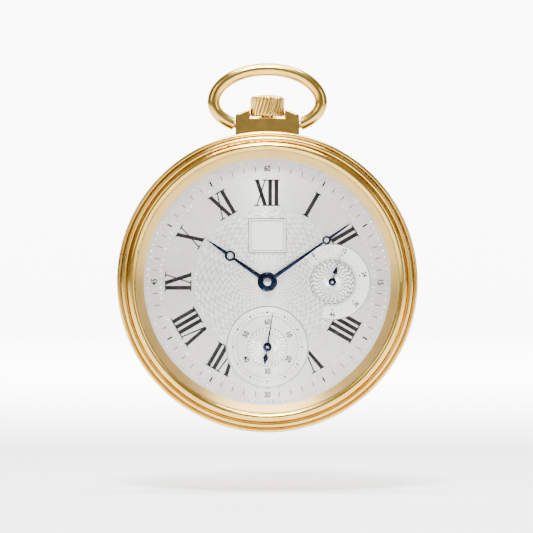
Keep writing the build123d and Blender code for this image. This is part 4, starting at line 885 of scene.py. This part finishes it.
class WATCH_PG_crown(bpy.types.PropertyGroup):
    """Sizes of the fluted crown."""

    flutes: bpy.props.IntProperty(name="Flutes", description="Number of flutes", default=26)
    depth: bpy.props.FloatProperty(name="Flute Depth", description="Depth of one flute",
                                   default=0.24 * MM, subtype="DISTANCE", precision=5)
    lean: bpy.props.FloatProperty(name="Lean", description="Turn of a flute over its length",
                                  default=math.radians(25), subtype="ANGLE")


class WATCH_PG_stage(bpy.types.PropertyGroup):
    """Places of the floor and the camera."""

    floor_drop: bpy.props.FloatProperty(name="Floor Drop", description="Floor below the hands' centre",
                                        default=33 * MM, subtype="DISTANCE")
    camera_distance: bpy.props.FloatProperty(
        name="Camera Distance",
        description="Camera in front of the watch",
        default=500 * MM,
        subtype="DISTANCE",
    )
    camera_height: bpy.props.FloatProperty(
        name="Camera Height",
        description="Camera above the hands' centre",
        default=2.4 * MM,
        subtype="DISTANCE",
    )


# ---------------------------------------------------------------- operators

NODE_FINISHES = {
    "gilt": ("pendant", "bow", "case_middle", "bezel", "case_back"),
    "satin_gilt": ("dial_flange",),
    "dial_face": ("dial",),
    "satin_silver": ("dial_plaque",),
    "crystal": ("crystal",),
    "steel": (
        "pendant_tube", "winding_stem", "winding_pinion", "sliding_pinion", "setting_lever", "yoke",
        "setting_lever_spring", "crown_wheel", "ratchet_wheel", "click", "barrel_arbor",
        "cannon_pinion", "centre_pinion", "third_pinion", "fourth_pinion", "escape_wheel",
        "pallet_fork", "regulator", "case_clamps",
    ),
    "spring_steel": ("click_spring", "mainspring", "hairspring"),
    "blued_steel": ("bridge_screws", "case_clamp_screws", "crown_wheel_screw", "ratchet_screw"),
    "brass": (
        "movement_ring", "hour_wheel", "minute_wheel", "setting_wheel", "barrel", "barrel_cover",
        "centre_wheel", "third_wheel", "fourth_wheel", "balance_wheel", "reserve_wheel",
        "reserve_idler",
    ),
    "striped_nickel": ("barrel_bridge", "train_bridge", "pallet_bridge", "balance_cock"),
    "pearled_nickel": ("main_plate",),
    "ruby": ("jewels",),
    "nylon": ("crystal_gasket",),
    "rubber": ("back_gasket",),
}
REPLACED_NODES = ("hour_hand", "minute_hand", "seconds_hand", "reserve_hand", "crown")


class WATCH_OT_finishes(bpy.types.Operator):
    """Gives every part of the frame its metal, glass, nylon or rubber"""

    bl_idname = "watch.finishes"
    bl_label = "Finishes"

    def execute(self, context):
        dressed = set(REPLACED_NODES)
        for finish, nodes in NODE_FINISHES.items():
            for node in nodes:
                mesh = frame["nodes"][node].data
                mesh.materials.clear()
                mesh.materials.append(finish_of(finish))
                dressed.add(node)
        missed = sorted(set(frame["nodes"]) - dressed)
        if missed:
            raise RuntimeError(f"no finish for {missed}")
        return {"FINISHED"}


HOURS = ((0, "XII"), (30, "I"), (60, "II"), (120, "IIII"), (150, "V"),
         (210, "VII"), (240, "VIII"), (270, "IX"), (300, "X"), (330, "XI"))


class WATCH_OT_numerals(bpy.types.Operator):
    """Prints the roman hours, cut where the subsidiary dials reach into them"""

    bl_idname = "watch.numerals"
    bl_label = "Roman Hours"

    def execute(self, context):
        sheet = Sheet()
        for degrees, text in HOURS:
            roman_numeral(sheet, text, degrees, context.scene.watch_dial)
        mesh = cut_by(sheet.mesh(), SECONDS_AT, SECONDS_RADIUS + 0.02)
        mesh = cut_by(mesh, RESERVE_AT, 5.9)
        add_piece("hour_numerals", mesh, "ink", "case")
        return {"FINISHED"}


class WATCH_OT_minute_track(bpy.types.Operator):
    """Prints the minute ticks and the four quarter numbers"""

    bl_idname = "watch.minute_track"
    bl_label = "Minute Track"

    def execute(self, context):
        thickness = context.scene.watch_dial.print_height / MM
        fine = ring_of(tick_shape(0.13, 0.8, DIAL_TOP, thickness), 60, TICK_RADIUS, "ink", skip=5)
        heavy = ring_of(tick_shape(0.26, 0.86, DIAL_TOP, thickness), 12, TICK_RADIUS, "ink", skip=3)
        quarters = [("60", 0, True), ("15", 90, True), ("30", 180, False), ("45", 270, True)]
        entries = []
        for text, degrees, outward in quarters:
            ux, uy = clock(degrees)
            entries.append((text, (QUARTER_RADIUS * ux, QUARTER_RADIUS * uy), upright(degrees, outward)))
        numbers = number_mesh(entries, 1.25, DIAL_TOP, thickness)
        add_piece("minute_track", joined([fine, heavy, numbers]), "ink", "case")
        return {"FINISHED"}


class WATCH_OT_plaque(bpy.types.Operator):
    """Lines the frame of the blank plaque below 12 o'clock"""

    bl_idname = "watch.plaque"
    bl_label = "Plaque Lines"

    def execute(self, context):
        left, right = low_mm("dial_plaque", 0), high_mm("dial_plaque", 0)
        foot, head = low_mm("dial_plaque", 2), high_mm("dial_plaque", 2)
        top = -low_mm("dial_plaque", 1)
        lines = Sheet()
        outer_line = (0.0, 0.09, DIAL_TOP, top + 0.01)
        inner_line = (0.36, 0.07, top - 0.1, top - 0.08)
        for inset, width, low, high in (outer_line, inner_line):
            a, b, c, d = left + inset, right - inset, foot + inset, head - inset
            lines.prism([(a, c), (b, c), (b, c + width), (a, c + width)], low, high)
            lines.prism([(a, d - width), (b, d - width), (b, d), (a, d)], low, high)
            lines.prism(
                [(a, c + width), (a + width, c + width), (a + width, d - width), (a, d - width)], low, high,
            )
            lines.prism(
                [(b - width, c + width), (b, c + width), (b, d - width), (b - width, d - width)], low, high,
            )
        add_piece("plaque_lines", lines.mesh(), "ink", "case")
        return {"FINISHED"}


class WATCH_OT_pearls(bpy.types.Operator):
    """Sets three rings of pearls, the inner one broken by both subsidiary dials"""

    bl_idname = "watch.pearls"
    bl_label = "Pearl Rings"

    def execute(self, context):
        sizes = context.scene.watch_dial
        radius = sizes.pearl_radius / MM
        for name, ring_radius, gaps in (
            ("outer_pearls", OUTER_PEARLS, ()), ("track_pearls", TRACK_PEARLS, ()),
            ("inner_pearls", INNER_PEARLS, ((SECONDS_AT, SECONDS_RADIUS + 0.25), (RESERVE_AT, 6.1))),
        ):
            shape = dome_shape(radius, DIAL_TOP - 0.01, radius * 0.8)
            mesh = ring_of(shape, sizes.pearl_count, ring_radius, "steel", gaps=gaps)
            add_piece(name, mesh, "pearl", "case", sharp=70)
        return {"FINISHED"}


class WATCH_OT_seconds_dial(bpy.types.Operator):
    """Prints the dots and numbers of the small seconds"""

    bl_idname = "watch.seconds_dial"
    bl_label = "Seconds Dial"

    def execute(self, context):
        floor = DIAL_TOP - SINK
        small = ring_of(dome_shape(0.09, floor, 0.03), 60, SECONDS_DOT_RADIUS, "ink", SECONDS_AT, skip=5)
        large = ring_of(dome_shape(0.16, floor, 0.04), 12, SECONDS_DOT_RADIUS, "ink", SECONDS_AT)
        entries = []
        for text, degrees, outward in (
            ("60", 0, True), ("10", 60, True), ("20", 120, False),
            ("30", 180, False), ("40", 240, False), ("50", 300, True),
        ):
            ux, uy = clock(degrees)
            entries.append(
                (
                    text,
                    (
                        SECONDS_AT[0] + SECONDS_NUMBER_RADIUS * ux,
                        SECONDS_AT[1] + SECONDS_NUMBER_RADIUS * uy,
                    ),
                    upright(degrees, outward),
                ),
            )
        numbers = number_mesh(entries, 1.2, floor, 0.012)
        add_piece("seconds_print", joined([small, large, numbers]), "ink", "case")
        rims = Sheet()
        for inner, outer in ((3.02, 3.1), (4.82, 4.9), (6.25, 6.42)):
            rims.sector(SECONDS_AT, inner, outer, 0, 360, floor, floor + 0.03, 96)
        add_piece("seconds_rims", rims.mesh(), "steel", "case")
        return {"FINISHED"}


RESERVE_FIRST = -35.5
RESERVE_PER_HOUR = 215.5 / 46


class WATCH_OT_reserve_dial(bpy.types.Operator):
    """Lays the sector of the power reserve and prints its scale from 0 to 46 hours"""

    bl_idname = "watch.reserve_dial"
    bl_label = "Reserve Dial"

    def execute(self, context):
        top = DIAL_TOP + 0.015
        sector = Sheet()
        sector.sector(RESERVE_AT, SECTOR_INNER, SECTOR_OUTER, SECTOR_FROM, SECTOR_TO, DIAL_TOP, top, 80)
        add_piece("reserve_sector", sector.mesh(), "satin_silver", "case")
        ticks = ring_of(tick_shape(0.06, 0.3, top, 0.01), 24, RESERVE_TICK_RADIUS, "ink", RESERVE_AT,
                        first=RESERVE_FIRST, step=2 * RESERVE_PER_HOUR)
        hours = (0, 12, 24, 36, 46)
        dots = []
        entries = []
        for hour in hours:
            heading = RESERVE_FIRST + hour * RESERVE_PER_HOUR
            dots.append(
                ring_of(
                    dome_shape(0.13, top, 0.02), 1, RESERVE_DOT_RADIUS, "ink", RESERVE_AT, first=heading,
                ),
            )
            ux, uy = clock(heading)
            place = (RESERVE_AT[0] + RESERVE_NUMBER_RADIUS * ux, RESERVE_AT[1] + RESERVE_NUMBER_RADIUS * uy)
            entries.append((str(hour), place, upright(heading, hour < 30)))
        numbers = number_mesh(entries, 1.0, top, 0.01)
        add_piece("reserve_print", joined([ticks, *dots, numbers]), "ink", "case")
        rims = Sheet()
        for inner, outer in ((3.36, 3.48), (3.06, 3.14)):
            rims.sector(RESERVE_AT, inner, outer, 0, 360, DIAL_TOP - SINK, DIAL_TOP - SINK + 0.03, 72)
        rims.sector(
            RESERVE_AT, SECTOR_OUTER, SECTOR_OUTER + 0.1, SECTOR_FROM, SECTOR_TO,
            DIAL_TOP, top + 0.01, 96,
        )
        add_piece("reserve_rims", rims.mesh(), "steel", "case")
        return {"FINISHED"}


class WATCH_OT_large_hands(bpy.types.Operator):
    """Makes the ridged hour and minute hands, each with a ring near its tip"""

    bl_idname = "watch.large_hands"
    bl_label = "Hour and Minute Hands"

    def execute(self, context):
        for name, body, low, heading, hub_radius, bore, ring_at, outer, inner, tip, root, neck in (
            ("hour_hand", "hour", HOUR_HAND_LOW, -55.1, 1.55, 1.2, 7.08, 0.84, 0.5, 11.6, 0.36, 0.2),
            ("minute_hand", "minute", MINUTE_HAND_LOW, 54.9, 1.3, 0.6, 11.29, 0.68, 0.38, 16.0, 0.34, 0.16),
        ):
            side, high = low + 0.04, low + 0.16
            ux, uy = clock(heading)
            ring_centre = (ring_at * ux, ring_at * uy)
            start = hub_radius - 0.15
            parts = [
                blade([(start, root), (ring_at - inner - 0.12, neck)], (0, 0), heading, low, side, high),
                blade([(ring_at + inner + 0.12, neck * 1.5), (ring_at + inner + 0.9, neck * 1.25),
                       (tip - 0.8, 0.12), (tip, 0.02)], (0, 0), heading, low, side, high),
                ridged_ring(ring_centre, inner, outer, low, side, high),
                hub((0, 0), bore, hub_radius, low, low + 0.2),
            ]
            add_piece(name + "_ridged", joined(parts), "blued_steel", body, [name], 20)
        return {"FINISHED"}


class WATCH_OT_small_hands(bpy.types.Operator):
    """Makes the seconds hand with its tail and the reserve hand with its arrowhead"""

    bl_idname = "watch.small_hands"
    bl_label = "Seconds and Reserve Hands"

    def execute(self, context):
        low, side, high = SMALL_HAND_LOW, SMALL_HAND_LOW + 0.03, SMALL_HAND_LOW + 0.11
        seconds = joined(
            [
                blade([(0.5, 0.13), (5.2, 0.05), (5.5, 0.02)], SECONDS_AT, 9.2, low, side, high),
                blade(
                    [(0.5, 0.1), (1.0, 0.07), (1.75, 0.42), (2.76, 0.02)],
                    SECONDS_AT,
                    189.2,
                    low,
                    side,
                    high,
                ),
                hub(SECONDS_AT, 0.2, 0.7, low, high + 0.01),
            ],
        )
        add_piece(
            "seconds_hand_ridged", seconds, "blued_steel", "fourth", ["seconds_hand"], 20,
        )
        reserve = joined([
            blade([(0.45, 0.12), (1.45, 0.09)], RESERVE_AT, 16.8, low, side, high),
            blade([(1.35, 0.4), (2.45, 0.06), (4.5, 0.04), (4.7, 0.02)], RESERVE_AT, 16.8, low, side, high),
            hub(RESERVE_AT, 0.2, 0.62, low, high + 0.01),
        ])
        add_piece(
            "reserve_hand_ridged", reserve, "blued_steel", "reserve", ["reserve_hand"], 20,
        )
        return {"FINISHED"}


class WATCH_OT_hand_pins(bpy.types.Operator):
    """Sets the polished pins that show in the middle of the hands' hubs"""

    bl_idname = "watch.hand_pins"
    bl_label = "Hand Pins"

    def execute(self, context):
        for name, body, centre, radius, low, high in (
            ("minute_pin", "minute", (0, 0), 0.58, 7.9, 8.16),
            ("seconds_pin", "fourth", SECONDS_AT, 0.2, 7.15, 7.32),
            ("reserve_pin", "reserve", RESERVE_AT, 0.2, 7.15, 7.32),
        ):
            add_piece(name, pin(centre, radius, low, high), "steel", body)
        return {"FINISHED"}


LOW_EDGE_WIDTH = 0.35
LOW_EDGE_HEIGHT = 0.4
TOP_EDGE_WIDTH = 0.75


class WATCH_OT_crown(bpy.types.Operator):
    """Makes the domed crown with its leaning flutes"""

    bl_idname = "watch.crown"
    bl_label = "Fluted Crown"

    def execute(self, context):
        sizes = context.scene.watch_crown
        depth = sizes.depth / MM
        steps = sizes.flutes * 12
        low, top = CROWN_LOW, CROWN_TOP
        # (radius, height, share of the flute depth) from the bore's edge round to the top
        outline = [(0.75, low, 0.0), (1.9, low, 0.0)]
        for turned in (0.0, 0.4, 0.8, 1.2, math.pi / 2):
            radius = CROWN_RADIUS - LOW_EDGE_WIDTH + LOW_EDGE_WIDTH * math.sin(turned)
            outline.append((radius, low + LOW_EDGE_HEIGHT * (1 - math.cos(turned)), math.sin(turned)))
        straight = top - low - 1.15
        for step in range(1, 11):
            outline.append((CROWN_RADIUS, low + LOW_EDGE_HEIGHT + straight * step / 10, 1.0))
        for turned in (0.3, 0.6, 0.9, 1.2, 1.45):
            radius = CROWN_RADIUS - TOP_EDGE_WIDTH + TOP_EDGE_WIDTH * math.cos(turned)
            outline.append((radius, top - TOP_EDGE_WIDTH + 0.6 * math.sin(turned), math.cos(turned)))
        outline += [(1.3, top - 0.06, 0.0), (0.6, top - 0.01, 0.0)]
        vertices = []
        for radius, height, share in outline:
            twist = sizes.lean * (height - low) / (top - low)
            for step in range(steps):
                angle = 2 * math.pi * step / steps
                wave = abs(math.sin(sizes.flutes / 2 * (angle - twist)))
                reach = radius - depth * share * (1 - wave) ** 1.5
                vertices.append((reach * math.cos(angle), -STEM_HEIGHT + reach * math.sin(angle), height))
        faces = []
        for ring in range(len(outline) - 1):
            for step in range(steps):
                following = (step + 1) % steps
                faces.append((ring * steps + step, ring * steps + following,
                              (ring + 1) * steps + following, (ring + 1) * steps + step))
        last = (len(outline) - 1) * steps
        vertices += [(0, -STEM_HEIGHT, top), (0, -STEM_HEIGHT, low)]
        for step in range(steps):
            following = (step + 1) % steps
            faces.append((last + step, last + following, len(vertices) - 2))
            faces.append((following, step, len(vertices) - 1))
        add_piece("crown_fluted", mesh_from(vertices, faces), "gilt", "stem", ["crown"], 40)
        return {"FINISHED"}


def area_light(name, place, target, size, energy):
    """Soft square light aimed at a point, in millimetres."""
    light = bpy.data.lights.new(name, "AREA")
    light.shape = "RECTANGLE"
    light.size, light.size_y = size[0] * MM, size[1] * MM
    light.energy = energy
    lamp = bpy.data.objects.new(name, light)
    lamp.location = Vector(place) * MM
    lamp.rotation_euler = (Vector(target) - Vector(place)).to_track_quat("-Z", "Y").to_euler()
    bpy.context.scene.collection.objects.link(lamp)


class WATCH_OT_stage(bpy.types.Operator):
    """Lays a pale floor that sweeps up behind the watch, lights it softly and sets the camera"""

    bl_idname = "watch.stage"
    bl_label = "Stage"

    def execute(self, context):
        scene = context.scene
        sizes = scene.watch_stage
        drop = -sizes.floor_drop / MM
        bend = [(1100 + 500 * math.sin(part), drop + 500 - 500 * math.cos(part))
                for part in (math.pi / 2 * step / 24 for step in range(25))]
        line = [(-1600, drop)] + bend + [(1600, 1800)]
        vertices = [(x, y, z) for y, z in line for x in (-2400, 2400)]
        faces = [(2 * i, 2 * i + 1, 2 * i + 3, 2 * i + 2) for i in range(len(line) - 1)]
        mesh = bpy.data.meshes.new("floor")
        mesh.from_pydata([(x * MM, y * MM, z * MM) for x, y, z in vertices], [], faces)
        mesh.materials.append(finish_of("floor"))
        smooth(mesh)
        floor = bpy.data.objects.new("floor", mesh)
        scene.collection.objects.link(floor)
        world = bpy.data.worlds.new("soft_room")
        world.use_nodes = True
        world.node_tree.nodes["Background"].inputs["Color"].default_value = (1, 1, 1, 1)
        world.node_tree.nodes["Background"].inputs["Strength"].default_value = 0.33
        scene.world = world
        area_light("overhead", (0, -20, 360), (0, 20, 0), (300, 160), 3.0)
        area_light("key", (-20, -270, 360), (0, 0, 0), (110, 80), 5.5)
        area_light("front_left", (-320, -330, 200), (0, 0, 0), (180, 260), 0.6)
        area_light("front_right", (330, -300, 120), (0, 0, 0), (120, 240), 0.5)
        area_light("backdrop_wash", (0, 300, 640), (0, 1500, 300), (2400, 500), 230.0)
        area_light("rear_fill", (250, 420, 300), (0, 0, 0), (260, 260), 1.2)
        camera = bpy.data.cameras.new("camera")
        camera.lens = 213
        camera.sensor_width = 36
        camera.clip_end = 10
        viewer = bpy.data.objects.new("camera", camera)
        viewer.location = (-0.13 * MM, -sizes.camera_distance, sizes.camera_height)
        viewer.rotation_euler = (math.radians(90), 0, 0)
        scene.collection.objects.link(viewer)
        scene.camera = viewer
        return {"FINISHED"}


OPERATORS = (
    WATCH_OT_finishes, WATCH_OT_numerals, WATCH_OT_minute_track, WATCH_OT_plaque,
    WATCH_OT_pearls, WATCH_OT_seconds_dial,
    WATCH_OT_reserve_dial, WATCH_OT_large_hands, WATCH_OT_small_hands, WATCH_OT_hand_pins, WATCH_OT_crown,
    WATCH_OT_stage,
)


class WATCH_PT_panel(bpy.types.Panel):
    """Sidebar list of the steps that build the watch"""

    bl_idname = "WATCH_PT_panel"
    bl_label = "Pocket Watch"
    bl_space_type = "VIEW_3D"
    bl_region_type = "UI"
    bl_category = "Watch"

    def draw(self, context):
        for step in OPERATORS:
            self.layout.operator(step.bl_idname)
        for settings in (context.scene.watch_dial, context.scene.watch_crown, context.scene.watch_stage):
            for name in settings.__annotations__:
                self.layout.prop(settings, name)


SETTINGS = (
    ("watch_dial", WATCH_PG_dial), ("watch_crown", WATCH_PG_crown), ("watch_stage", WATCH_PG_stage),
)


def register():
    for name, group in SETTINGS:
        bpy.utils.register_class(group)
        setattr(bpy.types.Scene, name, bpy.props.PointerProperty(type=group))
    for step in (*OPERATORS, WATCH_PT_panel):
        bpy.utils.register_class(step)


def unregister():
    for step in reversed((*OPERATORS, WATCH_PT_panel)):
        bpy.utils.unregister_class(step)
    for name, group in SETTINGS:
        delattr(bpy.types.Scene, name)
        bpy.utils.unregister_class(group)


def main():
    register()
    for step in OPERATORS:
        family, action = step.bl_idname.split(".")
        getattr(getattr(bpy.ops, family), action)()


if __name__ == "__main__":
    main()
